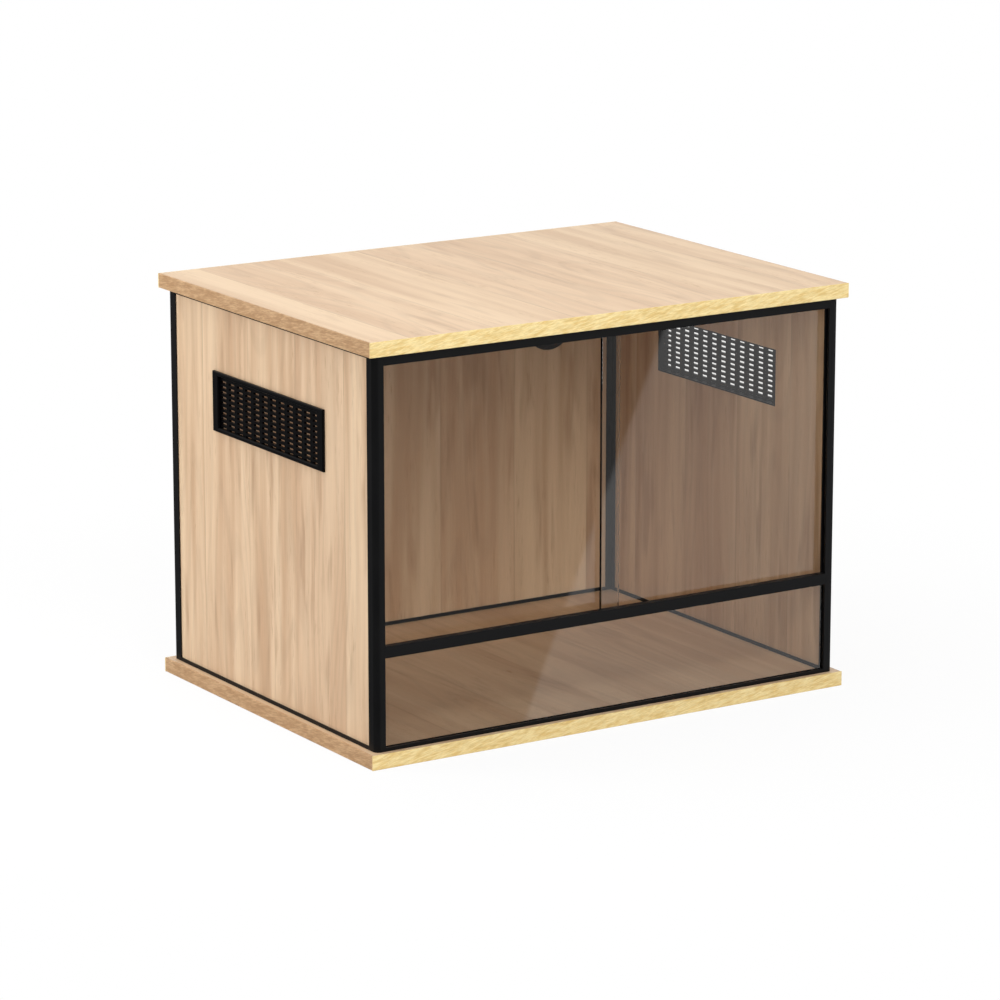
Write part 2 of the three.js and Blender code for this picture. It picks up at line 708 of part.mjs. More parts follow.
function sidePanel(name, side) {
  const shape = rectangle(
    endY(-1, FRONT_POST_SIDE - POST_CHANNEL_DEPTH + PLAY),
    endY(1, REAR_POST_FACE - POST_CHANNEL_DEPTH + PLAY),
    PANEL_BOTTOM,
    PANEL_TOP,
  );
  const [y, z] = [GRILLE_WIDTH / 2 + PLAY, GRILLE_HEIGHT / 2 + PLAY];
  shape.holes.push(rectangle(VENT_Y - y, VENT_Y + y, VENT_Z - z, VENT_Z + z));
  const faces = [sideX(side, PANEL_OUTER), sideX(side, PANEL_INNER)];
  return piece(name, alongX(shape, Math.min(...faces), Math.max(...faces)), LAMINATE);
}

function backPanel() {
  const x = sideX(1, REAR_POST_FACE - POST_CHANNEL_DEPTH + PLAY);
  const sheet = block(
    [-x, endY(1, PANEL_INNER), PANEL_BOTTOM],
    [x, endY(1, PANEL_OUTER), PANEL_TOP],
  );
  const hole = new THREE.CylinderGeometry(
    PORT_SLEEVE_RADIUS + COVER_PLAY,
    PORT_SLEEVE_RADIUS + COVER_PLAY,
    4 * WALL,
    PORT_STEPS,
  ).translate(PORT_X, endY(1, WALL / 2), PORT_Z);
  return piece('back_panel', cut(sheet, [hole]), LAMINATE);
}

function lowerGlass() {
  const x = sideX(1, GROOVE_END + PLAY);
  return piece('lower_glass', block(
    [-x, endY(-1, TENON.from), FLOOR_Z + RAIL_WEB + PLAY],
    [x, endY(-1, TENON.to), MIDDLE_GROOVE_TOP - 2 * PLAY],
  ), GLASS);
}

// A door from x0 to x1 in the track whose front edge is at the given inset.
function door(name, x0, x1, track) {
  const mesh = piece(name, block(
    [0, -GLASS_THICKNESS, 0],
    [x1 - x0, 0, DOOR_TOP - DOOR_BOTTOM],
  ), GLASS);
  mesh.position.set(x0, endY(-1, track + PLAY + GLASS_THICKNESS), DOOR_BOTTOM);
  return mesh;
}

function doors() {
  return group(
    door('left_door', -DOOR_END_X, DOORS_MEET_X + DOOR_OVERLAP / 2, REAR_TRACK),
    door('right_door', DOORS_MEET_X - DOOR_OVERLAP / 2, DOOR_END_X, FRONT_TRACK),
  );
}

// ---------------------------------------------------------------- air vents

// Slotted plate with a collar that lines the hole in the panel. It is modelled with
// x = 0 on the outer face of the panel and the cabinet's inside towards -X.
function ventGrille() {
  const [y, z] = [(GRILLE_WIDTH - COLLAR_WALL) / 2, (GRILLE_HEIGHT - COLLAR_WALL) / 2];
  const slots = [];
  for (let column = 0; column < SLOT_COLUMNS; column += 1) {
    for (let row = 0; row < SLOT_ROWS; row += 1) {
      const slotY = (column - (SLOT_COLUMNS - 1) / 2) * SLOT_PITCH_Y;
      const slotZ = (row - (SLOT_ROWS - 1) / 2) * SLOT_PITCH_Z;
      slots.push(block(
        [-PLAY - 2 * GRILLE_PLATE, slotY - SLOT_WIDTH / 2, slotZ - SLOT_HEIGHT / 2],
        [PLAY, slotY + SLOT_WIDTH / 2, slotZ + SLOT_HEIGHT / 2],
      ));
    }
  }
  const plate = cut(block([-PLAY - GRILLE_PLATE, -y, -z], [-PLAY, y, z]), [mergeGeometries(slots)]);
  const collar = mitredRing(GRILLE_WIDTH, GRILLE_HEIGHT, [
    [0, 0, -PLAY],
    [COLLAR_WALL, COLLAR_WALL, -PLAY],
    [COLLAR_WALL, COLLAR_WALL, -PANEL_THICKNESS],
    [0, 0, -PANEL_THICKNESS],
  ]);
  return join(plate, collar);
}

// Bezel that covers the edge of the hole and holds the grille, chamfered outside.
function ventBezel() {
  return mitredRing(VENT_WIDTH, VENT_HEIGHT, [
    [0, 0, 0],
    [0, 0, BEZEL_THICKNESS - BEZEL_CHAMFER],
    [BEZEL_CHAMFER, BEZEL_CHAMFER, BEZEL_THICKNESS],
    [BEZEL_SIDE - BEZEL_CHAMFER, BEZEL_EDGE - BEZEL_CHAMFER, BEZEL_THICKNESS],
    [BEZEL_SIDE, BEZEL_EDGE, BEZEL_THICKNESS - BEZEL_CHAMFER],
    [BEZEL_SIDE, BEZEL_EDGE, 0],
  ]);
}

function vents() {
  return group(...SIDES.map(([word, side]) => {
    const vent = group(
      piece(`vent_bezel_${word}`, ventBezel().scale(side, 1, 1), PLASTIC_BLACK),
      piece(`vent_grille_${word}`, ventGrille().scale(side, 1, 1), PLASTIC_BLACK),
    );
    vent.position.set(sideX(side, PANEL_OUTER), VENT_Y, VENT_Z);
    return vent;
  }));
}

// ---------------------------------------------------------------- cable port

const COVER_BACK = PORT_FLANGE_THICKNESS - PORT_SEAT_DEPTH + PLAY;
const COVER_RADIUS = PORT_BORE_RADIUS + PORT_SEAT_WIDTH - COVER_PLAY;
const SKIRT_RADIUS = PORT_BORE_RADIUS - COVER_PLAY;

// Turned pieces of the port stand on the panel's inner face, with +Z into the cabinet.
function portRing() {
  const edge = PORT_FLANGE_RADIUS - PORT_EDGE_RADIUS;
  const shoulder = PORT_FLANGE_THICKNESS - PORT_EDGE_RADIUS;
  const diagonal = PORT_EDGE_RADIUS * Math.SQRT1_2;
  const seatRadius = PORT_BORE_RADIUS + PORT_SEAT_WIDTH;
  const seat = PORT_FLANGE_THICKNESS - PORT_SEAT_DEPTH;
  const sleeveEnd = -PANEL_THICKNESS - PORT_SLEEVE_PROUD;
  return turned([
    [PORT_BORE_RADIUS, sleeveEnd],
    [PORT_SLEEVE_RADIUS, sleeveEnd],
    [PORT_SLEEVE_RADIUS, 0],
    [PORT_FLANGE_RADIUS, 0],
    [PORT_FLANGE_RADIUS, shoulder],
    [edge + diagonal, shoulder + diagonal],
    [edge, PORT_FLANGE_THICKNESS],
    [seatRadius, PORT_FLANGE_THICKNESS],
    [seatRadius, seat],
    [PORT_BORE_RADIUS, seat],
    [PORT_BORE_RADIUS, sleeveEnd],
  ], PORT_STEPS);
}

// Snap-in cover that turns in the ring to point its cable notch where it is wanted.
function portCover() {
  const face = COVER_BACK + COVER_THICKNESS;
  const disc = turned([
    [0, COVER_BACK],
    [SKIRT_RADIUS - COVER_SKIRT_WALL, COVER_BACK],
    [SKIRT_RADIUS - COVER_SKIRT_WALL, COVER_BACK - COVER_SKIRT_DEPTH],
    [SKIRT_RADIUS, COVER_BACK - COVER_SKIRT_DEPTH],
    [SKIRT_RADIUS, COVER_BACK],
    [COVER_RADIUS, COVER_BACK],
    [COVER_RADIUS, face],
    [0, face],
  ], PORT_STEPS);
  const notch = new THREE.Shape();
  notch.moveTo(-NOTCH_WIDTH / 2, -PORT_FLANGE_RADIUS);
  notch.lineTo(NOTCH_WIDTH / 2, -PORT_FLANGE_RADIUS);
  notch.lineTo(NOTCH_WIDTH / 2, -NOTCH_CENTRE);
  notch.absarc(0, -NOTCH_CENTRE, NOTCH_WIDTH / 2, 0, Math.PI);
  notch.closePath();
  return cut(disc, [alongZ(notch, -PANEL_THICKNESS, PANEL_THICKNESS)]);
}

function cablePort() {
  const port = group(
    piece('cable_port_ring', portRing(), PLASTIC_BLACK),
    piece('cable_port_cover', portCover(), PLASTIC_BLACK),
  );
  port.rotation.x = Math.PI / 2;
  port.position.set(PORT_X, endY(1, PANEL_INNER) - PLAY, PORT_Z);
  return port;
}

// ---------------------------------------------------------------- the cabinet

const cabinet = new THREE.Group();
cabinet.name = 'terrarium_cabinet';
cabinet.add(
  baseBoard(),
  topBoard(),
  frame(),
  ...SIDES.map(([word, side]) => sidePanel(`side_panel_${word}`, side)),
  backPanel(),
  lowerGlass(),
  doors(),
  vents(),
  cablePort(),
  fasteners(),
);

export default cabinet;
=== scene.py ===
"""Looks of a terrarium cabinet with sliding glass doors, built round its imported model.

The file is laid out as an add-on. Its property groups hold the sizes and colours that a
user would change, each operator finishes one group of pieces, and main() calls them in
order. Lengths are metres, with +X to the right, +Y to the rear and +Z up.
"""

import math

import bmesh
import bpy
from bpy.props import FloatProperty, FloatVectorProperty, IntProperty, PointerProperty
from mathutils import Euler, Matrix, Vector


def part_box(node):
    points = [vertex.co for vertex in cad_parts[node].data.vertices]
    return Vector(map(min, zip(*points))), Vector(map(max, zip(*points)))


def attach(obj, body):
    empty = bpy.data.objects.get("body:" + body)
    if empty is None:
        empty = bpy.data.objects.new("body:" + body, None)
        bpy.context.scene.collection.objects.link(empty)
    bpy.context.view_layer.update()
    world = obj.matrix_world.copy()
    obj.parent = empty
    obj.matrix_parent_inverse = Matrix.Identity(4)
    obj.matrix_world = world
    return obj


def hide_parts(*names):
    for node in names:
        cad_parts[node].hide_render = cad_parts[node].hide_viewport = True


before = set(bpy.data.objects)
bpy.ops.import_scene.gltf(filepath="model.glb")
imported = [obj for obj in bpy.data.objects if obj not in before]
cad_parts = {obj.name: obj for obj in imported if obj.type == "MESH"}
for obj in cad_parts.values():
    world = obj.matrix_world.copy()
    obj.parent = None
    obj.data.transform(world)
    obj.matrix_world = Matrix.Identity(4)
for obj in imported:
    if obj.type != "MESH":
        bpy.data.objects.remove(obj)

bl_info = {
    "name": "Terrarium Cabinet",
    "version": (1, 0, 0),
    "blender": (4, 5, 0),
    "location": "3D View > Sidebar > Cabinet",
    "description": "Finishes a terrarium cabinet with sliding glass doors",
    "category": "Add Mesh",
}

MM = 0.001
SIDES = (("left", -1), ("right", 1))

# ---- properties


def linear(value):
    """An 8-bit screen value as a linear one from 0 to 1."""
    share = value / 255
    return share / 12.92 if share <= 0.04045 else ((share + 0.055) / 1.055) ** 2.4


def colour_property(name, description, red, green, blue):
    """A colour setting, its default given in 8-bit screen values."""
    return FloatVectorProperty(
        name=name, description=description, size=4, min=0, max=1, subtype="COLOR",
        default=(linear(red), linear(green), linear(blue), 1.0))


def length_property(name, description, millimetres):
    return FloatProperty(
        name=name, description=description, default=millimetres * MM, min=0,
        subtype="DISTANCE", unit="LENGTH")


def angle_property(name, description, degrees):
    return FloatProperty(
        name=name, description=description, default=math.radians(degrees), subtype="ANGLE")


def light_property(name, description, default, unit="NONE"):
    return FloatProperty(name=name, description=description, default=default, min=0, unit=unit)


class CabinetColours(bpy.types.PropertyGroup):
    """Colours of the cabinet's finishes."""

    laminate_light: colour_property(
        "Laminate, light", "Pale streaks of the boards and panels", 229, 202, 167)
    laminate_dark: colour_property(
        "Laminate, dark", "Darker streaks of the boards and panels", 193, 157, 121)
    laminate_rosy: colour_property(
        "Laminate, rosy", "Tone that some staves lean to", 212, 178, 145)
    laminate_shadow: colour_property(
        "Laminate, shadows", "Grey-brown shadow along some streaks", 168, 131, 98)
    laminate_pore: colour_property("Laminate, pores", "Fine pores and heart lines", 150, 114, 84)
    front_band_light: colour_property(
        "Front band, light", "Pale grain of the front and rear edge bands", 232, 211, 155)
    front_band_dark: colour_property(
        "Front band, dark", "Darker grain of the front and rear edge bands", 212, 179, 111)
    side_band_light: colour_property(
        "Side band, light", "Pale grain of the side edge bands", 204, 168, 128)
    side_band_dark: colour_property(
        "Side band, dark", "Darker grain of the side edge bands", 172, 134, 95)
    frame_black: colour_property("Frame", "Coating of the frame bars and tracks", 9, 9, 10)
    plastic_black: colour_property("Plastic", "Vents and cable port", 4, 4, 5)
    glass_tint: colour_property("Glass", "Tint of the glass", 241, 240, 238)
    zinc: colour_property("Zinc", "Plating of the screws and dowels", 186, 188, 190)


class CabinetSizes(bpy.types.PropertyGroup):
    """Sizes of the fine shapes that the model's pieces carry."""

    bar_edge: length_property("Bar edge", "Rounding of the frame bars' edges", 0.35)
    bezel_edge: length_property("Bezel edge", "Rounding of the vent bezels' edges", 0.3)
    glass_edge: length_property("Glass edge", "Polished arris of the glass", 0.35)
    slot_columns: IntProperty(
        name="Slot columns", description="Slots across a vent", default=12, min=1)
    slot_rows: IntProperty(
        name="Slot rows", description="Slots up a vent", default=11, min=1)
    slot_width: length_property("Slot width", "Width of a vent slot", 12)
    slot_height: length_property("Slot height", "Height of a vent slot", 2.7)
    slot_corner: length_property("Slot corner", "Corner radius of a vent slot", 0.8)
    slot_edge: length_property("Slot edge", "Rounding of a vent slot's rim", 0.1)
    slot_pitch_y: length_property("Slot pitch across", "Distance between slot columns", 17.9)
    slot_pitch_z: length_property("Slot pitch up", "Distance between slot rows", 5.7)
    grille_plate: length_property("Grille plate", "Thickness of a vent's slotted plate", 3)
    collar_wall: length_property("Collar wall", "Thickness of a vent's collar", 1.5)
    port_bore: length_property("Port bore", "Radius of the cable port's bore", 23.5)
    port_sleeve: length_property("Port sleeve", "Wall of the cable port's sleeve", 2.25)
    port_flange: length_property("Port flange", "Thickness of the cable port's flange", 2.5)
    port_seat: length_property("Port seat", "Width of the step that carries the cover", 3)
    port_seat_depth: length_property("Port seat depth", "Depth of the cover's step", 1.5)
    cover_play: length_property("Cover play", "Gap round the cable port's cover", 0.3)
    cover_plate: length_property("Cover plate", "Thickness of the cover", 1.5)
    notch_width: length_property("Notch width", "Width of the cable notch", 14)
    notch_centre: length_property("Notch centre", "Middle of the cable notch's round end", 15)


class CabinetStage(bpy.types.PropertyGroup):
    """Camera and light."""

    azimuth: angle_property("Azimuth", "Camera's turn to the left of the front", 32.4556)
    elevation: angle_property("Elevation", "Camera's height as an angle", 13.6048)
    distance: length_property("Distance", "From the camera to its target", 4929.83)
    target: FloatVectorProperty(
        name="Target", description="Point in the middle of the picture",
        default=(0.000866, 0.004360, 0.201705), size=3, subtype="TRANSLATION", unit="LENGTH")
    lens: FloatProperty(
        name="Lens", description="Focal length", default=161.876, subtype="DISTANCE_CAMERA")
    ambient: light_property("Ambient", "Soft light from all round", 0.5)
    key: light_property("Key light", "Power of the front lamp", 59, "POWER")
    side: light_property("Side light", "Power of the left lamp", 10, "POWER")
    overhead: light_property("Overhead light", "Power of the lamp above", 20.5, "POWER")
    fill: light_property("Fill light", "Power of the rear lamp", 7, "POWER")
    ground: light_property("Ground", "How bright reflections of the ground are", 0.2)
    softbox: light_property("Softbox", "Brightness of the panel mirrored in the glass", 1.2)


# ---- node trees

SCALAR = "NodeSocketFloat"
INTEGER = "NodeSocketInt"
VECTOR = "NodeSocketVector"
GEOMETRY = "NodeSocketGeometry"
MATERIAL = "NodeSocketMaterial"
WHITE = (1.0, 1.0, 1.0, 1.0)


class Nodes:
    """Adds nodes to one tree. A value given for a socket is linked or set."""

    def __init__(self, tree):
        self.tree = tree

    def feed(self, socket, value):
        if isinstance(value, bpy.types.NodeSocket):
            self.tree.links.new(value, socket)
        else:
            socket.default_value = value

    def add(self, kind, inputs=None, **settings):
        node = self.tree.nodes.new(kind)
        for name, value in settings.items():
            setattr(node, name, value)
        for key, value in (inputs or {}).items():
            self.feed(node.inputs[key], value)
        return node

    def out(self, kind, inputs=None, output=0, **settings):
        """Adds a node and returns one of its outputs."""
        return self.add(kind, inputs, **settings).outputs[output]

    def calc(self, operation, *values):
        return self.out("ShaderNodeMath", dict(enumerate(values)), operation=operation)

    def plus(self, first, second):
        return self.calc("ADD", first, second)

    def minus(self, first, second):
        return self.calc("SUBTRACT", first, second)

    def times(self, first, second):
        return self.calc("MULTIPLY", first, second)

    def vector_calc(self, operation, first, second=(0.0, 0.0, 0.0), output="Vector"):
        inputs = {0: first, 1: second}
        return self.out("ShaderNodeVectorMath", inputs, output, operation=operation)

    def dot(self, first, second):
        return self.vector_calc("DOT_PRODUCT", first, second, "Value")

    def combine(self, x, y, z):
        return self.out("ShaderNodeCombineXYZ", {"X": x, "Y": y, "Z": z})

    def separate(self, vector):
        return self.add("ShaderNodeSeparateXYZ", {0: vector}).outputs

    def noise(self, vector, detail=2.0, roughness=0.5, output="Fac"):
        inputs = {"Vector": vector, "Scale": 1.0, "Detail": detail, "Roughness": roughness}
        return self.out("ShaderNodeTexNoise", inputs, output)

    def remap(self, value, low, high, to_low=0.0, to_high=1.0, kind="SMOOTHSTEP"):
        inputs = dict(enumerate((value, low, high, to_low, to_high)))
        return self.out("ShaderNodeMapRange", inputs, interpolation_type=kind)

    def between(self, share, first, last):
        """A value that goes evenly from the first to the last as the share goes from 0 to 1."""
        return self.remap(share, 0.0, 1.0, first, last, "LINEAR")

    def mix(self, factor, first, second, blend="MIX"):
        """Two colours mixed, through the node's sockets for colours."""
        inputs = {0: factor, 6: first, 7: second}
        return self.out("ShaderNodeMix", inputs, 2, data_type="RGBA", blend_type=blend)

    def bump(self, height, strength, distance):
        inputs = {"Height": height, "Strength": strength, "Distance": distance}
        return self.out("ShaderNodeBump", inputs)


def new_group(name, kind, inputs, outputs):
    """An empty node group, its nodes helper, and its input sockets by name."""
    tree = bpy.data.node_groups.new(name, kind)
    for title, socket_type, default in inputs:
        socket = tree.interface.new_socket(title, in_out="INPUT", socket_type=socket_type)
        if default is not None:
            socket.default_value = default
    for title, socket_type in outputs:
        tree.interface.new_socket(title, in_out="OUTPUT", socket_type=socket_type)
    nodes = Nodes(tree)
    return tree, nodes, nodes.add("NodeGroupInput").outputs


# How far one seed's pattern lies from the next one's, across the grain
SEED_APART = (1.37, 0.71)
# Waves that the grain sways by: two across, one along
WAVES_PER_METRE = (9.0, 9.0, 3.0)
# How far apart the patterns of two staves can lie, and how far a stave leans to pale or dark
STAVE_SHIFT = 3.0
STAVE_LEAN = 0.035
# Rings of the heart figure in a full swing of its noise
RINGS = 75.0
# Distances from a joint at which its line has faded out and is full
JOINT_FADE = 1.2 * MM
JOINT_LINE = 0.2 * MM


def scaled_along_grain(nodes, position, width, length):
    """A position counted in grain widths across and grain lengths along Z."""
    size = nodes.combine(width, width, length)
    return nodes.vector_calc("DIVIDE", position, size)


def swayed_position(nodes, given):
    """The position, moved to a place of the seed's own and swayed by the wander."""
    seed, wander = given["Seed"], given["Wander"]
    shift = nodes.combine(*(nodes.times(seed, step) for step in SEED_APART), seed)
    place = nodes.vector_calc("ADD", given["Position"], shift)
    waves = nodes.vector_calc("MULTIPLY", place, WAVES_PER_METRE)
    swing = nodes.noise(waves, detail=1.0, output="Color")
    sway = nodes.vector_calc("SUBTRACT", swing, (0.5, 0.5, 0.5))
    reach = nodes.combine(wander, wander, 0.0)
    return nodes.vector_calc("ADD", place, nodes.vector_calc("MULTIPLY", sway, reach))


def stave_marks(nodes, given):
    """A random value for each stave, and a mask of the fine joints between staves."""
    x, y, z = nodes.separate(given["Position"])
    crossed = nodes.minus(nodes.plus(x, y), given["Stave Start"])
    across = nodes.calc("DIVIDE", crossed, given["Stave Width"])
    number = nodes.plus(nodes.calc("FLOOR", across), given["Seed"])
    stave = nodes.out("ShaderNodeTexWhiteNoise", {"W": number}, "Value", noise_dimensions="1D")
    nearest = nodes.calc("ABSOLUTE", nodes.minus(across, nodes.calc("ROUND", across)))
    gap = nodes.times(nearest, given["Stave Width"])
    line = nodes.remap(gap, JOINT_FADE, JOINT_LINE)
    faint = nodes.noise(nodes.combine(number, 0.0, nodes.times(z, 4.0)), detail=1.0)
    return stave, nodes.times(line, nodes.remap(faint, 0.35, 0.6))


def oak_grain_group():
    """Streaks, fibres, pores and staves of a wood-look laminate whose grain runs along Z."""
    marks = ("Streaks", "Shadows", "Figure", "Fibres", "Pores", "Stave", "Joint", "Height")
    tree, nodes, given = new_group("Oak grain", "ShaderNodeTree", [
        ("Position", VECTOR, None),
        ("Seed", SCALAR, 0.0),
        ("Wander", SCALAR, 8 * MM),
        ("Streak Width", SCALAR, 15 * MM),
        ("Streak Length", SCALAR, 320 * MM),
        ("Fibre Width", SCALAR, 1.6 * MM),
        ("Fibre Length", SCALAR, 60 * MM),
        ("Stave Width", SCALAR, 100 * MM),
        ("Stave Start", SCALAR, 0.0),
    ], [(mark, SCALAR) for mark in marks])
    swayed = swayed_position(nodes, given)
    stave, joint = stave_marks(nodes, given)
    apart = nodes.combine(0.0, 0.0, nodes.times(stave, STAVE_SHIFT))
    own = nodes.vector_calc("ADD", swayed, apart)

    def in_grains(place, kind, widths, lengths):
        """A place counted in so many widths and lengths of the streaks or fibres."""
        width = nodes.times(given[f"{kind} Width"], widths)
        length = nodes.times(given[f"{kind} Length"], lengths)
        return scaled_along_grain(nodes, place, width, length)

    def streaky(widths, lengths, detail):
        return nodes.noise(in_grains(own, "Streak", widths, lengths), detail)

    blend = nodes.plus(
        nodes.times(streaky(1.0, 1.0, 1.5), 0.5), nodes.times(streaky(3.5, 1.6, 1.5), 0.5))
    leaning = nodes.plus(blend, nodes.between(stave, -STAVE_LEAN, STAVE_LEAN))
    streaks = nodes.remap(leaning, 0.34, 0.66)
    shadows = nodes.times(
        nodes.remap(streaky(0.8, 0.4, 2.0), 0.5, 0.68),
        nodes.remap(streaky(3.0, 0.5, 1.0), 0.48, 0.62))
    rings = nodes.calc("SINE", nodes.times(streaky(5.0, 1.5, 1.0), RINGS))
    figure = nodes.times(nodes.remap(rings, 0.1, 1.0), nodes.remap(stave, 0.35, 0.55))
    fibres = nodes.remap(nodes.noise(in_grains(own, "Fibre", 1.0, 1.0)), 0.3, 0.7)
    dashes = nodes.noise(in_grains(swayed, "Fibre", 0.6, 0.3), detail=1.0)
    dotted = nodes.times(
        nodes.remap(dashes, 0.58, 0.72), nodes.remap(streaky(1.0, 0.4, 2.0), 0.45, 0.65))
    cells = {"Vector": in_grains(own, "Streak", 5.0, 0.8), "Scale": 1.0}
    knots = nodes.remap(nodes.out("ShaderNodeTexVoronoi", cells, "Distance"), 0.04, 0.01)
    pores = nodes.calc("MAXIMUM", dotted, knots)
    height = nodes.minus(nodes.times(fibres, 0.35), nodes.calc("MAXIMUM", pores, joint))
    values = (streaks, shadows, figure, fibres, pores, stave, joint, height)
    nodes.add("NodeGroupOutput", dict(zip(marks, values)))
    return tree


def fine_coat_group():
    """Fine pitting and soft cloudiness of a coated or moulded surface."""
    tree, nodes, given = new_group("Fine coat", "ShaderNodeTree", [
        ("Position", VECTOR, None),
        ("Grain Size", SCALAR, 0.4 * MM),
        ("Cloud Size", SCALAR, 50 * MM),
    ], [("Clouds", SCALAR), ("Grain", SCALAR)])

    def speckle(size, detail, roughness):
        counted = nodes.vector_calc("DIVIDE", given["Position"], nodes.combine(size, size, size))
        return nodes.noise(counted, detail, roughness)

    nodes.add("NodeGroupOutput", {
        "Clouds": nodes.remap(speckle(given["Cloud Size"], 3.0, 0.6), 0.3, 0.7),
        "Grain": speckle(given["Grain Size"], 2.0, 0.5),
    })
    return tree


# Cosines of the normal's turn at which the lighter edge starts and is full. The lighter edge is
# partly worn coating and partly a painted edge highlight
WEAR_AND_HIGHLIGHT_STARTS = 0.995
WEAR_AND_HIGHLIGHT_FULL = 0.85
TICKS_PER_METRE = (160.0, 160.0, 160.0)


def edge_wear_and_highlight_group():
    """A mask that is 1 on sharp outer edges, broken up by a fine noise: worn edges together with a
    painted edge highlight.
    """
    tree, nodes, given = new_group("Edge wear", "ShaderNodeTree", [
        ("Position", VECTOR, None),
        ("Radius", SCALAR, 0.6 * MM),
    ], [("Edge", SCALAR)])
    soft = nodes.out("ShaderNodeBevel", {"Radius": given["Radius"]}, samples=4)
    hard = nodes.out("ShaderNodeNewGeometry", output="Normal")
    turned = nodes.remap(nodes.dot(soft, hard), WEAR_AND_HIGHLIGHT_STARTS, WEAR_AND_HIGHLIGHT_FULL)
    fine = nodes.vector_calc("MULTIPLY", given["Position"], TICKS_PER_METRE)
    ticks = nodes.remap(nodes.noise(fine, detail=4.0), 0.35, 0.6, 0.5, 1.0)
    nodes.add("NodeGroupOutput", {"Edge": nodes.times(turned, ticks)})
    return tree


GROUP_MAKERS = {
    "Oak grain": oak_grain_group,
    "Fine coat": fine_coat_group,
    "Edge wear": edge_wear_and_highlight_group,
}


def shared_tree(name, maker):
    """The node tree of that name, made when it is first asked for."""
    return bpy.data.node_groups.get(name) or maker()


# ---- materials


class Finish(Nodes):
    """A new material with a Principled shader on its output."""

    def __init__(self, name):
        self.material = bpy.data.materials.new(name)
        self.material.use_nodes = True
        self.material.node_tree.nodes.clear()
        super().__init__(self.material.node_tree)
        self.output = self.add("ShaderNodeOutputMaterial")
        self.shader = self.add("ShaderNodeBsdfPrincipled")
        self.feed(self.output.inputs["Surface"], self.shader.outputs[0])

    def fill(self, node, values):
        for name, value in values.items():
            self.feed(node.inputs[name.replace("_", " ")], value)
        return node.outputs

    def set(self, **values):
        self.fill(self.shader, values)

    def position(self, turn=(0.0, 0.0, 0.0)):
        """Object coordinates, turned about the origin."""
        place = self.out("ShaderNodeTexCoord", output="Object")
        if not any(turn):
            return place
        return self.out("ShaderNodeMapping", {"Vector": place, "Rotation": turn})

    def group(self, name, **values):
        tree = shared_tree(name, GROUP_MAKERS[name])
        return self.fill(self.add("ShaderNodeGroup", node_tree=tree), values)

    def tinted(self, tone, mask, weight, other):
        """A colour that leans to another one by a weight where the mask is 1."""
        return self.mix(self.times(mask, weight), tone, other)

    def shaded(self, tone, shade):
        """A colour multiplied by a plain value."""
        return self.mix(1.0, tone, self.combine(shade, shade, shade), blend="MULTIPLY")

    def cover(self, share, shader):
        """Shows another shader in place of the Principled one, by a share."""
        inputs = {0: share, 1: self.shader.outputs[0], 2: shader}
        mixed = self.out("ShaderNodeMixShader", inputs)
        self.feed(self.output.inputs["Surface"], mixed)


def toned(tint, *shares):
    """A colour with its red, green and blue multiplied by their shares."""
    return (*(value * share for value, share in zip(tint, shares)), 1.0)


# Turns that bring a piece's grain onto Z. A band's grain lies a little aslant
GRAIN_ALONG_Z = (0.0, 0.0, 0.0)
GRAIN_ALONG_Y = (math.pi / 2, 0.0, 0.0)
FRONT_BAND_GRAIN = (0.0, math.pi / 2 + 0.2, 0.0)
SIDE_BAND_GRAIN = (math.pi / 2 + 0.15, 0.0, 0.0)

# Wider than any band, so that no joint of staves falls on one
BAND_STAVE = 4.0

# Depth of the grain in the surface of laminates, bands and zinc
RELIEF = 0.05 * MM


def laminate(name, turn, seed, stave_start, contrast):
    """Pale oak-look laminate: staves of soft streaks, grey shadows, figure and short pores."""
    colours = bpy.context.scene.cabinet_colours
    finish = Finish(name)
    grain = finish.group(
        "Oak grain", Position=finish.position(turn), Seed=seed, Stave_Start=stave_start)
    half = contrast / 2
    streaks = finish.between(grain["Streaks"], 0.5 - half, 0.5 + half)
    tone = finish.mix(streaks, tuple(colours.laminate_light), tuple(colours.laminate_dark))
    tone = finish.tinted(tone, grain["Stave"], half, tuple(colours.laminate_rosy))
    tone = finish.tinted(tone, grain["Shadows"], half, tuple(colours.laminate_shadow))
    shade = finish.between(grain["Fibres"], 0.965, 1.02)
    for mark, depth in (("Figure", 0.06), ("Joint", 0.2)):
        shade = finish.minus(shade, finish.times(grain[mark], depth))
    tone = finish.shaded(tone, shade)
    finish.set(
        Base_Color=finish.tinted(tone, grain["Pores"], 0.35, tuple(colours.laminate_pore)),
        Roughness=finish.between(grain["Pores"], 0.46, 0.62),
        Normal=finish.bump(grain["Height"], 0.25, RELIEF),
        Specular_IOR_Level=0.75,
    )
    return finish.material


def edge_band(name, turn, light, dark, seed):
    """Edge band with a short, lively grain along its length."""
    finish = Finish(name)
    grain = finish.group(
        "Oak grain", Position=finish.position(turn), Seed=seed, Wander=3 * MM,
        Streak_Width=0.9 * MM, Streak_Length=9 * MM, Fibre_Width=0.6 * MM, Fibre_Length=5 * MM,
        Stave_Width=BAND_STAVE, Stave_Start=BAND_STAVE / 2,
    )
    tone = finish.mix(grain["Streaks"], tuple(light), tuple(dark))
    tone = finish.shaded(tone, finish.between(grain["Fibres"], 0.9, 1.06))
    finish.set(
        Base_Color=finish.tinted(tone, grain["Pores"], 0.5, toned(dark, 0.7, 0.66, 0.6)),
        Roughness=finish.between(grain["Fibres"], 0.5, 0.42),
        Normal=finish.bump(grain["Height"], 0.3, RELIEF),
        Specular_IOR_Level=0.4,
    )
    return finish.material


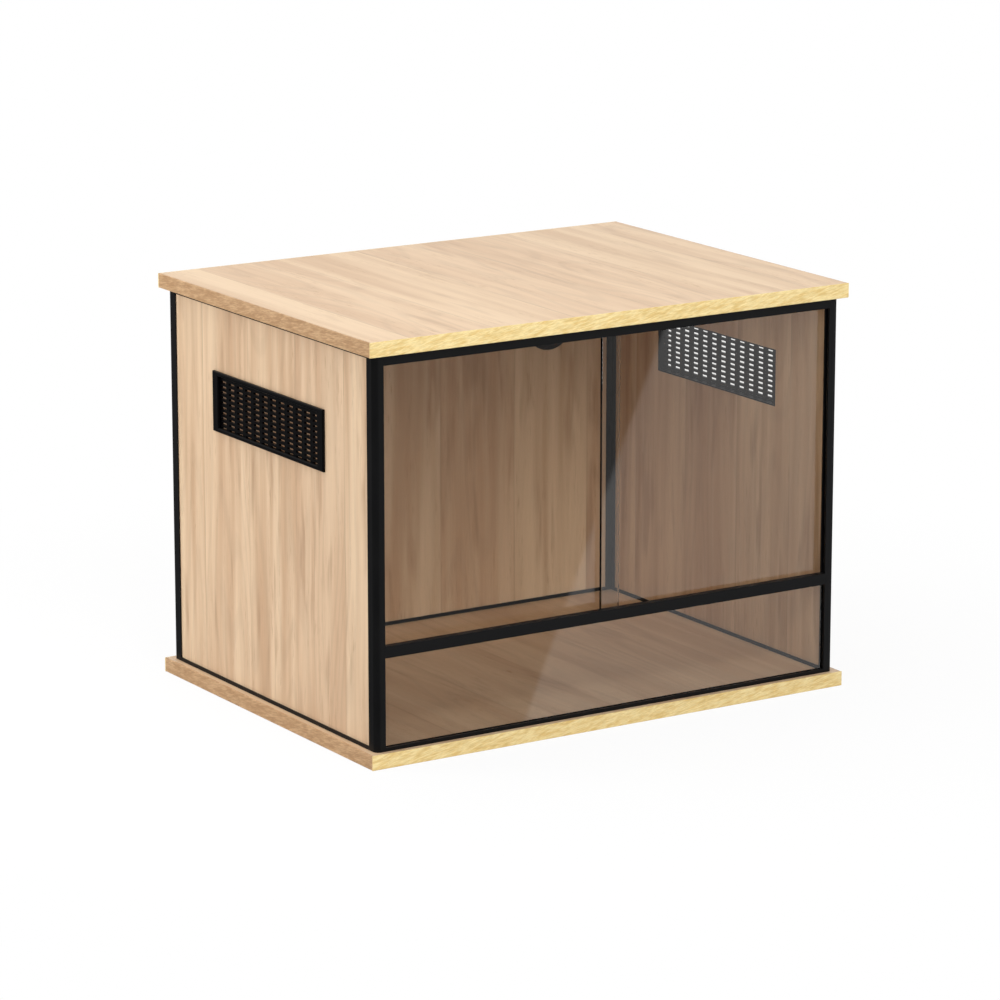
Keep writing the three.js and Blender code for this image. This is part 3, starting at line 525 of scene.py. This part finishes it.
def black_coat(name, tint, grain_size, roughness, gloss):
    """Satin black with a fine texture, a little lighter on its edges, partly as worn coating and
    partly as a painted edge highlight.
    """
    finish = Finish(name)
    place = finish.position()
    coat = finish.group("Fine coat", Position=place, Grain_Size=grain_size)
    wear_and_highlight = finish.group("Edge wear", Position=place)
    lighter_black = toned(tint, 3.2, 3.2, 3.2)
    tone = finish.tinted(tuple(tint), coat["Clouds"], 0.12, lighter_black)
    finish.set(
        # Lighter edges: worn coating together with a painted edge highlight
        Base_Color=finish.tinted(tone, wear_and_highlight["Edge"], 0.35, lighter_black),
        Roughness=finish.between(coat["Clouds"], roughness - 0.04, roughness + 0.06),
        Normal=finish.bump(coat["Grain"], 0.12, grain_size / 4),
        Specular_IOR_Level=gloss,
    )
    return finish.material


# Share of the light that a pane lets through
PANE_SHADE = (0.87, 0.87, 0.87, 1.0)


def clear_glass(name):
    """Clear float glass. Lamps and bounced light pass it with the loss of its two faces."""
    finish = Finish(name)
    coat = finish.group("Fine coat", Position=finish.position(), Cloud_Size=120 * MM)
    finish.set(
        Base_Color=tuple(bpy.context.scene.cabinet_colours.glass_tint),
        Roughness=finish.between(coat["Clouds"], 0.0, 0.01),
        IOR=1.5,
        Transmission_Weight=1.0,
    )
    path = finish.add("ShaderNodeLightPath").outputs
    passing = finish.calc("MAXIMUM", path["Is Shadow Ray"], path["Is Diffuse Ray"])
    finish.cover(passing, finish.out("ShaderNodeBsdfTransparent", {"Color": PANE_SHADE}))
    return finish.material


def zinc_plate(name):
    """Zinc-plated steel with a mottled shine."""
    finish = Finish(name)
    coat = finish.group(
        "Fine coat", Position=finish.position(), Grain_Size=0.3 * MM, Cloud_Size=4 * MM)
    tint = tuple(bpy.context.scene.cabinet_colours.zinc)
    finish.set(
        Base_Color=finish.mix(coat["Clouds"], tint, toned(tint, 0.7, 0.7, 0.7)),
        Metallic=1.0,
        Roughness=finish.between(coat["Clouds"], 0.28, 0.42),
        Normal=finish.bump(coat["Grain"], 0.1, RELIEF),
    )
    return finish.material


def dress(piece, material):
    """Gives a piece one material all over."""
    piece.data.materials.clear()
    piece.data.materials.append(material)
    return piece


# ---- mesh helpers

WELD = 0.002 * MM
FLAT = math.radians(1)
CREASE = math.radians(35)


def new_piece(name, mesh_maker, material):
    """An object from a function that fills a bmesh."""
    shape = bmesh.new()
    mesh_maker(shape)
    mesh = bpy.data.meshes.new(name)
    shape.to_mesh(mesh)
    shape.free()
    piece = bpy.data.objects.new(name, mesh)
    bpy.context.scene.collection.objects.link(piece)
    return dress(piece, material)


def stand_for(piece, body, slot, *nodes):
    """Lets a piece ride on a body in place of the model's nodes."""
    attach(piece, body)
    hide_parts(*nodes)
    return piece


def bevel_edges(piece, width, segments, clamp=True):
    bevel = piece.modifiers.new("Rounded edges", "BEVEL")
    bevel.width = width
    bevel.segments = segments
    bevel.limit_method = "ANGLE"
    bevel.angle_limit = CREASE
    bevel.use_clamp_overlap = clamp


def round_edges(piece, width, clamp=True):
    """Rounds a piece's sharp edges and smooths its round faces."""
    piece.data.shade_smooth()
    bevel_edges(piece, width, 2, clamp)
    flat = piece.modifiers.new("Flat faces", "WEIGHTED_NORMAL")
    flat.mode = "FACE_AREA"
    flat.weight = 100
    return piece


def welded_copy(node):
    """A function that fills a bmesh with a node's shape, its corners welded."""
    def fill(shape):
        shape.from_mesh(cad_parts[node].data)
        bmesh.ops.remove_doubles(shape, verts=shape.verts, dist=WELD)
        bmesh.ops.dissolve_limit(shape, angle_limit=FLAT, verts=shape.verts, edges=shape.edges)
        bmesh.ops.recalc_face_normals(shape, faces=shape.faces)
    return fill


def softened(node, body, slot, material, width):
    """A copy of a node with rounded edges, which stands for it."""
    piece = new_piece(f"{node}_finished", welded_copy(node), material)
    round_edges(piece, width)
    return stand_for(piece, body, slot, node)


def spun(shape, profile, steps):
    """A closed ring from a closed (radius, height) profile, turned about Z."""
    corners = [shape.verts.new((radius, 0.0, height)) for radius, height in profile]
    ring = [shape.edges.new((corners[i - 1], corners[i])) for i in range(len(corners))]
    bmesh.ops.spin(
        shape, geom=corners + ring, axis=(0, 0, 1), cent=(0, 0, 0), steps=steps, angle=2 * math.pi,
        use_duplicate=False,
    )
    bmesh.ops.remove_doubles(shape, verts=shape.verts, dist=WELD)
    bmesh.ops.recalc_face_normals(shape, faces=shape.faces)


def settled(piece):
    """Applies a piece's modifiers, so that its mesh is plain."""
    shown = piece.evaluated_get(bpy.context.evaluated_depsgraph_get())
    mesh = bpy.data.meshes.new_from_object(shown)
    piece.modifiers.clear()
    piece.data = mesh
    mesh.name = piece.name
    return piece


def cut_away(piece, cutter, touching=False):
    """Cuts a closed shape out of a piece and deletes the cutter."""
    cut = piece.modifiers.new("Cut", "BOOLEAN")
    cut.object = cutter
    cut.solver = "EXACT"
    cut.use_self = touching
    settled(piece)
    bpy.data.objects.remove(cutter)
    return piece


# ---- geometry nodes

# Inputs of the slotted plate that the settings of the same names give
PLATE_SETTINGS = (
    ("Grille Plate", SCALAR),
    ("Collar Wall", SCALAR),
    ("Slot Columns", INTEGER),
    ("Slot Rows", INTEGER),
    ("Slot Width", SCALAR),
    ("Slot Height", SCALAR),
    ("Slot Corner", SCALAR),
    ("Slot Pitch Y", SCALAR),
    ("Slot Pitch Z", SCALAR),
)


def rectangle_curve(nodes, width, height):
    inputs = {"Width": width, "Height": height}
    return nodes.out("GeometryNodeCurvePrimitiveQuadrilateral", inputs)


def joined(nodes, *parts):
    """Several geometries as one."""
    whole = nodes.add("GeometryNodeJoinGeometry")
    for part in parts:
        nodes.tree.links.new(part, whole.inputs[0])
    return whole.outputs[0]


def lowered(nodes, geometry, depth):
    """A geometry moved down by a depth."""
    down = nodes.combine(0.0, 0.0, nodes.times(depth, -1.0))
    return nodes.out("GeometryNodeTransform", {"Geometry": geometry, "Translation": down})


def filled_slab(nodes, curves, thickness):
    """A slab between flat curves in the XY plane and the same curves raised along Z."""
    flat = nodes.out("GeometryNodeFillCurve", {"Curve": curves})
    up = nodes.combine(0.0, 0.0, 1.0)
    raised = nodes.out("GeometryNodeExtrudeMesh", {
        "Mesh": flat, "Offset": up, "Offset Scale": thickness, "Individual": False})
    underside = nodes.out("GeometryNodeFlipFaces", {"Mesh": flat})
    inputs = {"Geometry": joined(nodes, underside, raised), "Distance": WELD}
    return nodes.out("GeometryNodeMergeByDistance", inputs)


def finished_tree(nodes, geometry, material):
    """Ends a tree with plain geometry in one material."""
    realized = nodes.out("GeometryNodeRealizeInstances", {0: geometry})
    inputs = {"Geometry": realized, "Material": material}
    coated = nodes.out("GeometryNodeSetMaterial", inputs)
    nodes.add("NodeGroupOutput", {"Geometry": coated})


def slotted_plate_tree():
    """A plate with rows of slots and a collar behind it, its face up at z = 0."""
    tree, nodes, given = new_group("Slotted plate", "GeometryNodeTree", [
        ("Width", SCALAR, None),
        ("Height", SCALAR, None),
        ("Depth", SCALAR, None),
        *((name, kind, None) for name, kind in PLATE_SETTINGS),
        ("Material", MATERIAL, None),
    ], [("Geometry", GEOMETRY)])
    slot = rectangle_curve(nodes, given["Slot Width"], given["Slot Height"])
    corners = {"Curve": slot, "Radius": given["Slot Corner"], "Count": 3}
    rounded = nodes.out("GeometryNodeFilletCurve", corners, mode="POLY")
    columns, rows = given["Slot Columns"], given["Slot Rows"]
    grid = nodes.out("GeometryNodeMeshGrid", {
        "Size X": nodes.times(nodes.minus(columns, 1.0), given["Slot Pitch Y"]),
        "Size Y": nodes.times(nodes.minus(rows, 1.0), given["Slot Pitch Z"]),
        "Vertices X": columns,
        "Vertices Y": rows,
    })
    copies = nodes.out("GeometryNodeInstanceOnPoints", {"Points": grid, "Instance": rounded})
    slots = nodes.out("GeometryNodeRealizeInstances", {0: copies})
    width, height, depth = given["Width"], given["Height"], given["Depth"]
    thickness, both_walls = given["Grille Plate"], nodes.times(given["Collar Wall"], 2.0)
    outline = rectangle_curve(nodes, width, height)
    plate = filled_slab(nodes, joined(nodes, slots, outline), thickness)
    inner = rectangle_curve(
        nodes, nodes.minus(width, both_walls), nodes.minus(height, both_walls))
    collar = filled_slab(nodes, joined(nodes, inner, outline), depth)
    union = nodes.add("GeometryNodeMeshBoolean", operation="UNION", solver="EXACT")
    for part in (lowered(nodes, plate, thickness), lowered(nodes, collar, depth)):
        nodes.tree.links.new(part, union.inputs["Mesh 2"])
    finished_tree(nodes, union.outputs[0], given["Material"])
    return tree


def screw_set_tree():
    """A screw on each point, each turned to an angle of its own about its axis."""
    tree, nodes, given = new_group("Screw set", "GeometryNodeTree", [
        ("Geometry", GEOMETRY, None),
        ("Screw", "NodeSocketObject", None),
        ("Direction", "NodeSocketRotation", None),
        ("Seed", INTEGER, 1),
        ("Material", MATERIAL, None),
    ], [("Geometry", GEOMETRY)])
    model = nodes.out("GeometryNodeObjectInfo", {"Object": given["Screw"]}, "Geometry")
    limits = {"Min": 0.0, "Max": math.pi, "Seed": given["Seed"]}
    angle = nodes.out("FunctionNodeRandomValue", limits, "Value", data_type="FLOAT")
    twist = nodes.out("FunctionNodeEulerToRotation", {0: nodes.combine(0.0, 0.0, angle)})
    turns = {"Rotation": given["Direction"], "Rotate By": twist}
    aim = nodes.out("FunctionNodeRotateRotation", turns, rotation_space="LOCAL")
    placed = {"Points": given["Geometry"], "Instance": model, "Rotation": aim}
    screws = nodes.out("GeometryNodeInstanceOnPoints", placed)
    finished_tree(nodes, screws, given["Material"])
    return tree


def grown(piece, tree, values):
    """Runs a geometry tree on a piece and keeps the plain mesh that it makes."""
    modifier = piece.modifiers.new(tree.name, "NODES")
    modifier.node_group = tree
    sockets = {s.name: s.identifier for s in tree.interface.items_tree if s.in_out == "INPUT"}
    for name, value in values.items():
        modifier[sockets[name]] = value
    return settled(piece)


# ---- operators


# Boards: name and seed of the grain, and what their laminates share
BOARDS = (("base", 6.0), ("top", 4.0))
BOARD_STAVE_START = -0.302
BOARD_CONTRAST = 0.6


class CABINET_OT_finish_boards(bpy.types.Operator):
    """Gives the top and base boards their laminate and the bands their grain."""

    bl_idname = "cabinet.finish_boards"
    bl_label = "Boards and bands"

    def execute(self, context):
        colours = context.scene.cabinet_colours
        long_band = edge_band(
            "Front edge band", FRONT_BAND_GRAIN,
            colours.front_band_light, colours.front_band_dark, 2.0)
        side_band = edge_band(
            "Side edge band", SIDE_BAND_GRAIN,
            colours.side_band_light, colours.side_band_dark, 3.0)
        for board, seed in BOARDS:
            name = f"Laminate {board} board"
            core = laminate(name, GRAIN_ALONG_Y, seed, BOARD_STAVE_START, BOARD_CONTRAST)
            dress(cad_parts[f"{board}_board"], core)
            for end in ("front", "rear"):
                dress(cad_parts[f"{board}_band_{end}"], long_band)
            for side, _ in SIDES:
                dress(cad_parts[f"{board}_band_{side}"], side_band)
        return {"FINISHED"}


# Panels: node, seed of its grain, and where its staves start
PANELS = (
    ("side_panel_left", 7.0, -0.346),
    ("side_panel_right", 11.0, 0.343),
    ("back_panel", 17.0, 0.261),
)
PANEL_CONTRAST = 1.0


class CABINET_OT_finish_panels(bpy.types.Operator):
    """Gives the side and back panels an upright grain, each its own."""

    bl_idname = "cabinet.finish_panels"
    bl_label = "Panels"

    def execute(self, context):
        for panel, seed, stave_start in PANELS:
            name = f"Laminate {panel}"
            finish = laminate(name, GRAIN_ALONG_Z, seed, stave_start, PANEL_CONTRAST)
            dress(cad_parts[panel], finish)
        return {"FINISHED"}


FRAME_BARS = (
    *(f"{end}_post_{side}" for end in ("front", "rear") for side, _ in SIDES),
    *(f"{level}_rail_{place}" for level in ("bottom", "top")
      for place in ("front", "rear", "left", "right")),
    "middle_rail",
    "lower_door_track",
    "upper_door_track",
)


class CABINET_OT_finish_frame(bpy.types.Operator):
    """Rounds the edges of the frame bars and door tracks and coats them black."""

    bl_idname = "cabinet.finish_frame"
    bl_label = "Frame and tracks"

    def execute(self, context):
        tint = context.scene.cabinet_colours.frame_black
        coat = black_coat("Frame coat", tint, 0.35 * MM, 0.42, 0.15)
        for bar in FRAME_BARS:
            softened(bar, "root", "black_frame", coat, context.scene.cabinet_sizes.bar_edge)
        return {"FINISHED"}


# Panes: node and the body that it rides on
PANES = (("lower_glass", "root"), ("left_door", "left_door"), ("right_door", "right_door"))


class CABINET_OT_finish_glass(bpy.types.Operator):
    """Polishes the edges of the lower glass and of the two doors."""

    bl_idname = "cabinet.finish_glass"
    bl_label = "Glass"

    def execute(self, context):
        glass = clear_glass("Clear glass")
        for node, body in PANES:
            pane = new_piece(f"{node}_finished", welded_copy(node), glass)
            bevel_edges(pane, context.scene.cabinet_sizes.glass_edge, 1)
            stand_for(pane, body, "glass", node)
        return {"FINISHED"}


class CABINET_OT_make_vents(bpy.types.Operator):
    """Makes the slotted grilles and rounds the bezels round them."""

    bl_idname = "cabinet.make_vents"
    bl_label = "Air vents"

    def execute(self, context):
        sizes = context.scene.cabinet_sizes
        tint = context.scene.cabinet_colours.plastic_black
        plastic = black_coat("Moulded plastic", tint, 0.25 * MM, 0.32, 0.08)
        tree = shared_tree("Slotted plate", slotted_plate_tree)
        for side, sign in SIDES:
            node = f"vent_grille_{side}"
            low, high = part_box(node)
            grille = new_piece(f"{node}_slotted", lambda shape: None, plastic)
            depth, width, height = high - low
            values = {"Width": width, "Height": height, "Depth": depth, "Material": plastic}
            for name, _ in PLATE_SETTINGS:
                values[name] = getattr(sizes, name.lower().replace(" ", "_"))
            grown(grille, tree, values)
            face = (low + high) / 2
            face.x = sign * max(abs(low.x), abs(high.x))
            outward = Matrix(((0, 0, sign), (sign, 0, 0), (0, 1, 0))).to_4x4()
            grille.data.transform(Matrix.Translation(face) @ outward)
            round_edges(grille, sizes.slot_edge, clamp=False)
            stand_for(grille, "root", "black_plastic", node)
            softened(f"vent_bezel_{side}", "root", "black_plastic", plastic, sizes.bezel_edge)
        return {"FINISHED"}


PORT_STEPS = 96
PORT_EDGE = 0.2 * MM
LIP_STEPS = 6
NOTCH_STEPS = 24


def quarter(centre, radius, start):
    """Points of a quarter circle, anticlockwise from an angle in quarter turns."""
    turn = math.pi / 2
    angles = [turn * (start + i / LIP_STEPS) for i in range(LIP_STEPS + 1)]
    return [(centre[0] + radius * math.cos(a), centre[1] + radius * math.sin(a)) for a in angles]


def port_ring_profile(sizes, flange_radius, sleeve_depth):
    """Section of the port's ring: height 0 on the panel, flange up, sleeve down."""
    bore, lip = sizes.port_bore, sizes.port_flange / 2
    sleeve = bore + sizes.port_sleeve
    seat = bore + sizes.port_seat
    top = sizes.port_flange
    step = top - sizes.port_seat_depth
    return [
        (bore, -sleeve_depth),
        (sleeve, -sleeve_depth),
        (sleeve, 0.0),
        (flange_radius, 0.0),
        *quarter((flange_radius - lip, top - lip), lip, 0),
        (seat, top),
        (seat, step),
        (bore, step),
    ]


def cover_profile(sizes, back):
    """Section of the port's cover: a plate with a snap skirt behind it."""
    rim = sizes.port_bore + sizes.port_seat - sizes.cover_play
    skirt = sizes.port_bore - sizes.cover_play
    wall = sizes.cover_plate
    face = back + sizes.cover_plate
    return [
        (0.0, back),
        (skirt - wall, back),
        (skirt - wall, back - 2 * wall),
        (skirt, back - 2 * wall),
        (skirt, back),
        (rim, back),
        (rim, face),
        (0.0, face),
    ]


def notch_cutter(shape, sizes, reach):
    """A bar with a round end, from the cover's rim towards its middle."""
    radius = sizes.notch_width / 2
    angles = [math.pi * i / NOTCH_STEPS for i in range(NOTCH_STEPS + 1)]
    outline = [(radius * math.cos(a), -sizes.notch_centre + radius * math.sin(a)) for a in angles]
    outline += [(-radius, -2 * reach), (radius, -2 * reach)]
    corners = [shape.verts.new((x, y, -reach)) for x, y in outline]
    face = shape.faces.new(corners)
    raised = bmesh.ops.extrude_face_region(shape, geom=[face])["geom"]
    moved = [v for v in raised if isinstance(v, bmesh.types.BMVert)]
    bmesh.ops.translate(shape, verts=moved, vec=(0.0, 0.0, 2 * reach))
    bmesh.ops.recalc_face_normals(shape, faces=shape.faces)


class CABINET_OT_make_cable_port(bpy.types.Operator):
    """Makes the cable port's ring and its turning cover."""

    bl_idname = "cabinet.make_cable_port"
    bl_label = "Cable port"

    def execute(self, context):
        sizes = context.scene.cabinet_sizes
        tint = context.scene.cabinet_colours.plastic_black
        plastic = black_coat("Port plastic", tint, 0.3 * MM, 0.45, 0.3)
        low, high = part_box("cable_port_ring")
        middle, reach = (low + high) / 2, (high.x - low.x) / 2
        flange_back = low.y + sizes.port_flange
        place = Matrix.Translation((middle.x, flange_back, middle.z))
        upright = place @ Matrix.Rotation(math.pi / 2, 4, "X")

        def turned(name, profile):
            return new_piece(name, lambda shape: spun(shape, profile, PORT_STEPS), plastic)

        ring_profile = port_ring_profile(sizes, reach, high.y - flange_back)
        ring = turned("cable_port_flange", ring_profile)
        face = flange_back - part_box("cable_port_cover")[0].y
        cover = turned("cable_port_lid", cover_profile(sizes, face - sizes.cover_plate))
        notch = new_piece("notch", lambda shape: notch_cutter(shape, sizes, reach), plastic)
        cut_away(cover, notch)
        for piece, body, node in (
            (ring, "root", "cable_port_ring"), (cover, "cable_port_cover", "cable_port_cover"),
        ):
            piece.data.transform(upright)
            round_edges(piece, PORT_EDGE)
            stand_for(piece, body, "black_plastic", node)
        return {"FINISHED"}


SCREW_STEPS = 32
# Screw, in shares of its head's radius: its shank's radius and the rim of its head
SHANK_SHARE = 0.5
LAND_SHARE = 0.1
# Cross recess, in shares of the head's radius: half its span, half a blade's thickness, its
# depth and how far its cutter stands above the head. It narrows to a share of its span
RECESS_SPAN = 0.62
RECESS_BLADE = 0.13
RECESS_DEPTH = 0.75
RECESS_ABOVE = 0.1
RECESS_TAPER = 0.35


def screw_shape(head, length):
    """A function that fills a bmesh with a countersunk screw, its head at z = 0."""
    shank, land = SHANK_SHARE * head, LAND_SHARE * head

    def fill(shape):
        spun(shape, [
            (0.0, 0.0),
            (head, 0.0),
            (head, land),
            (shank, land + head - shank),
            (shank, length - shank),
            (0.0, length),
        ], SCREW_STEPS)
    return fill


def cross_shape(head):
    """A function that fills a bmesh with the two tapered blades of a cross recess."""
    reach, half = RECESS_SPAN * head, RECESS_BLADE * head
    levels = ((-RECESS_ABOVE * head, 1.0), (RECESS_DEPTH * head, RECESS_TAPER))

    def fill(shape):
        for turn in (0.0, math.pi / 2):
            corners = []
            for z, share in levels:
                for x, y in ((-1, -1), (1, -1), (1, 1), (-1, 1)):
                    spot = Vector((x * reach * share, y * half, z))
                    spot.rotate(Euler((0.0, 0.0, turn)))
                    corners.append(shape.verts.new(spot))
            for i in range(4):
                j = (i + 1) % 4
                shape.faces.new((corners[i], corners[j], corners[4 + j], corners[4 + i]))
            shape.faces.new(corners[3::-1])
            shape.faces.new(corners[4:])
        bmesh.ops.recalc_face_normals(shape, faces=shape.faces)
    return fill


def screw_model(name, head, length, material):
    """A screw with a cross recess in its head."""
    screw = new_piece(name, screw_shape(head, length), material)
    return cut_away(screw, new_piece(f"{name}_cross", cross_shape(head), material), touching=True)


# Rows of like screws: name, how many, and whether the head is at the bottom
SCREW_ROWS = (
    ("base_screw", 4, True),
    ("bottom_rail_screw", 6, False),
    ("top_rail_screw", 6, True),
    ("door_track_screw", 2, True),
)
DOWELS = 4


class CABINET_OT_make_fasteners(bpy.types.Operator):
    """Makes the screws with cross recesses and plates the dowels."""

    bl_idname = "cabinet.make_fasteners"
    bl_label = "Fasteners"

    def execute(self, context):
        zinc = zinc_plate("Zinc plate")
        tree = shared_tree("Screw set", screw_set_tree)
        for seed, (name, count, head_down) in enumerate(SCREW_ROWS):
            nodes = [f"{name}_{number + 1}" for number in range(count)]
            low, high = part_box(nodes[0])
            head, length = (high.x - low.x) / 2, high.z - low.z
            model = screw_model(f"{name}_model", head, length, zinc)
            spots = []
            for node in nodes:
                low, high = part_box(node)
                middle = (low + high) / 2
                spots.append((middle.x, middle.y, low.z if head_down else high.z))
            row = new_piece(
                f"{name}s", lambda shape: [shape.verts.new(spot) for spot in spots], zinc)
            turn = (0.0 if head_down else math.pi, 0.0, 0.0)
            grown(row, tree, {"Screw": model, "Direction": turn, "Seed": seed, "Material": zinc})
            bpy.data.objects.remove(model)
            stand_for(row, "root", "steel", *nodes)
        for number in range(DOWELS):
            dress(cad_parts[f"top_dowel_{number + 1}"], zinc)
        return {"FINISHED"}


# Soft lamps: name, the setting that holds the power, place, point faced and size
LAMPS = (
    ("Key lamp", "key", (-0.7, -2.8, 1.8), (0.0, 0.0, 0.2), 1.8),
    ("Side lamp", "side", (-1.5, 0.8, 0.8), (-0.3, 0.15, 0.2), 0.7),
    ("Overhead lamp", "overhead", (-0.6, 0.0, 2.5), (0.0, 0.0, 0.45), 1.4),
    ("Fill lamp", "fill", (2.2, 2.0, 1.6), (0.0, 0.0, 0.2), 1.6),
)


def area_lamp(name, power, place, aim, size):
    """A soft square lamp that lights, and that neither the camera nor a gloss shows."""
    data = bpy.data.lights.new(name, "AREA")
    data.shape = "SQUARE"
    data.size = size
    data.energy = power
    lamp = bpy.data.objects.new(name, data)
    lamp.location = place
    lamp.rotation_euler = (Vector(aim) - Vector(place)).to_track_quat("-Z", "Y").to_euler()
    lamp.visible_camera = False
    lamp.visible_glossy = False
    bpy.context.scene.collection.objects.link(lamp)


def ray_kinds(nodes):
    """Masks of what the camera sees at all, also through glass, and of what it sees mirrored."""
    path = nodes.add("ShaderNodeLightPath").outputs
    seen = nodes.calc("MAXIMUM", path["Is Camera Ray"], path["Is Glossy Ray"])
    seen = nodes.calc("MAXIMUM", seen, path["Is Transmission Ray"])
    mirrored = nodes.times(seen, nodes.calc("GREATER_THAN", path["Glossy Depth"], 0.5))
    return seen, mirrored


# Direction of the softbox that the front glass mirrors, and the normal of its straight edge
SOFTBOX_MIDDLE = (0.568, -0.785, -0.248)
SOFTBOX_EDGE = (0.7419, 0.5888, -0.3208)

CAMERA_REACH = 100.0
FLOOR_REACH = 16.0
FLOOR_DROP = 0.2 * MM
FLOOR_GREY = (0.86, 0.86, 0.86, 1.0)
# How white the floor looks near the cabinet, and the distances where that ends and where it
# is all white
FLOOR_SHARE = 0.92
FLOOR_NEAR = 0.5
FLOOR_FAR = 1.0


class CABINET_OT_set_stage(bpy.types.Operator):
    """Sets the camera, the pale floor and the soft light."""

    bl_idname = "cabinet.set_stage"
    bl_label = "Stage"

    def execute(self, context):
        stage = context.scene.cabinet_stage
        self.set_camera(context, stage)
        self.set_world(context, stage)
        self.set_floor(stage.ground)
        for name, power, place, aim, size in LAMPS:
            area_lamp(name, getattr(stage, power), place, aim, size)
        return {"FINISHED"}

    def set_camera(self, context, stage):
        flat = math.cos(stage.elevation)
        back = Vector((
            -math.sin(stage.azimuth) * flat,
            -math.cos(stage.azimuth) * flat,
            math.sin(stage.elevation),
        ))
        data = bpy.data.cameras.new("Camera")
        data.lens = stage.lens
        data.clip_end = CAMERA_REACH
        camera = bpy.data.objects.new("Camera", data)
        camera.location = Vector(stage.target) + back * stage.distance
        camera.rotation_euler = (-back).to_track_quat("-Z", "Y").to_euler()
        context.scene.collection.objects.link(camera)
        context.scene.camera = camera

    def set_world(self, context, stage):
        world = bpy.data.worlds.new("Studio")
        world.use_nodes = True
        context.scene.world = world
        nodes = Nodes(world.node_tree)
        world.node_tree.nodes.clear()
        direction = nodes.out("ShaderNodeTexCoord", output="Generated")
        above = nodes.remap(nodes.separate(direction)[2], -0.12, 0.1, stage.ground, 1.0)
        inside = nodes.remap(nodes.dot(direction, SOFTBOX_EDGE), 0.0, 0.002)
        near = nodes.remap(nodes.dot(direction, SOFTBOX_MIDDLE), 0.9, 0.93)
        softbox = nodes.times(nodes.times(inside, near), stage.softbox)
        glossy = nodes.calc("MAXIMUM", above, softbox)
        seen, mirrored = ray_kinds(nodes)
        plain = nodes.between(seen, stage.ambient, 1.0)
        strength = nodes.between(mirrored, plain, glossy)
        sky = nodes.out("ShaderNodeBackground", {"Color": WHITE, "Strength": strength})
        nodes.add("ShaderNodeOutputWorld", {"Surface": sky})
        context.scene.view_settings.view_transform = "Standard"

    def set_floor(self, ground):
        finish = Finish("Pale floor")
        finish.set(Base_Color=FLOOR_GREY, Roughness=0.8, Specular_IOR_Level=0.1)
        away = finish.vector_calc("LENGTH", finish.position(), output="Value")
        whiteness = finish.remap(away, FLOOR_NEAR, FLOOR_FAR, FLOOR_SHARE, 1.0)
        seen, mirrored = ray_kinds(finish)
        share = finish.calc("MAXIMUM", finish.times(seen, whiteness), mirrored)
        strength = finish.between(mirrored, 1.0, ground)
        glow = finish.out("ShaderNodeEmission", {"Color": WHITE, "Strength": strength})
        finish.cover(share, glow)

        def grid(shape):
            bmesh.ops.create_grid(
                shape, x_segments=8, y_segments=8, size=FLOOR_REACH,
                matrix=Matrix.Translation((0, 0, -FLOOR_DROP)))

        floor = new_piece("studio_floor", grid, finish.material)
        floor.visible_glossy = False


# ---- panel and registration

STEPS = (
    CABINET_OT_set_stage,
    CABINET_OT_finish_boards,
    CABINET_OT_finish_panels,
    CABINET_OT_finish_frame,
    CABINET_OT_finish_glass,
    CABINET_OT_make_vents,
    CABINET_OT_make_cable_port,
    CABINET_OT_make_fasteners,
)


class CABINET_PT_build(bpy.types.Panel):
    """Lists the steps that finish the cabinet."""

    bl_label = "Terrarium cabinet"
    bl_space_type = "VIEW_3D"
    bl_region_type = "UI"
    bl_category = "Cabinet"

    def draw(self, context):
        for step in STEPS:
            self.layout.operator(step.bl_idname)


SETTINGS = {
    "cabinet_colours": CabinetColours,
    "cabinet_sizes": CabinetSizes,
    "cabinet_stage": CabinetStage,
}
CLASSES = (*SETTINGS.values(), *STEPS, CABINET_PT_build)


def register():
    for item in CLASSES:
        bpy.utils.register_class(item)
    for name, settings in SETTINGS.items():
        setattr(bpy.types.Scene, name, PointerProperty(type=settings))


def unregister():
    for name in SETTINGS:
        delattr(bpy.types.Scene, name)
    for item in reversed(CLASSES):
        bpy.utils.unregister_class(item)


def main():
    """Finishes the cabinet."""
    register()
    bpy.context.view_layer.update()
    for step in STEPS:
        category, name = step.bl_idname.split(".")
        getattr(getattr(bpy.ops, category), name)()


if __name__ == "__main__":
    main()
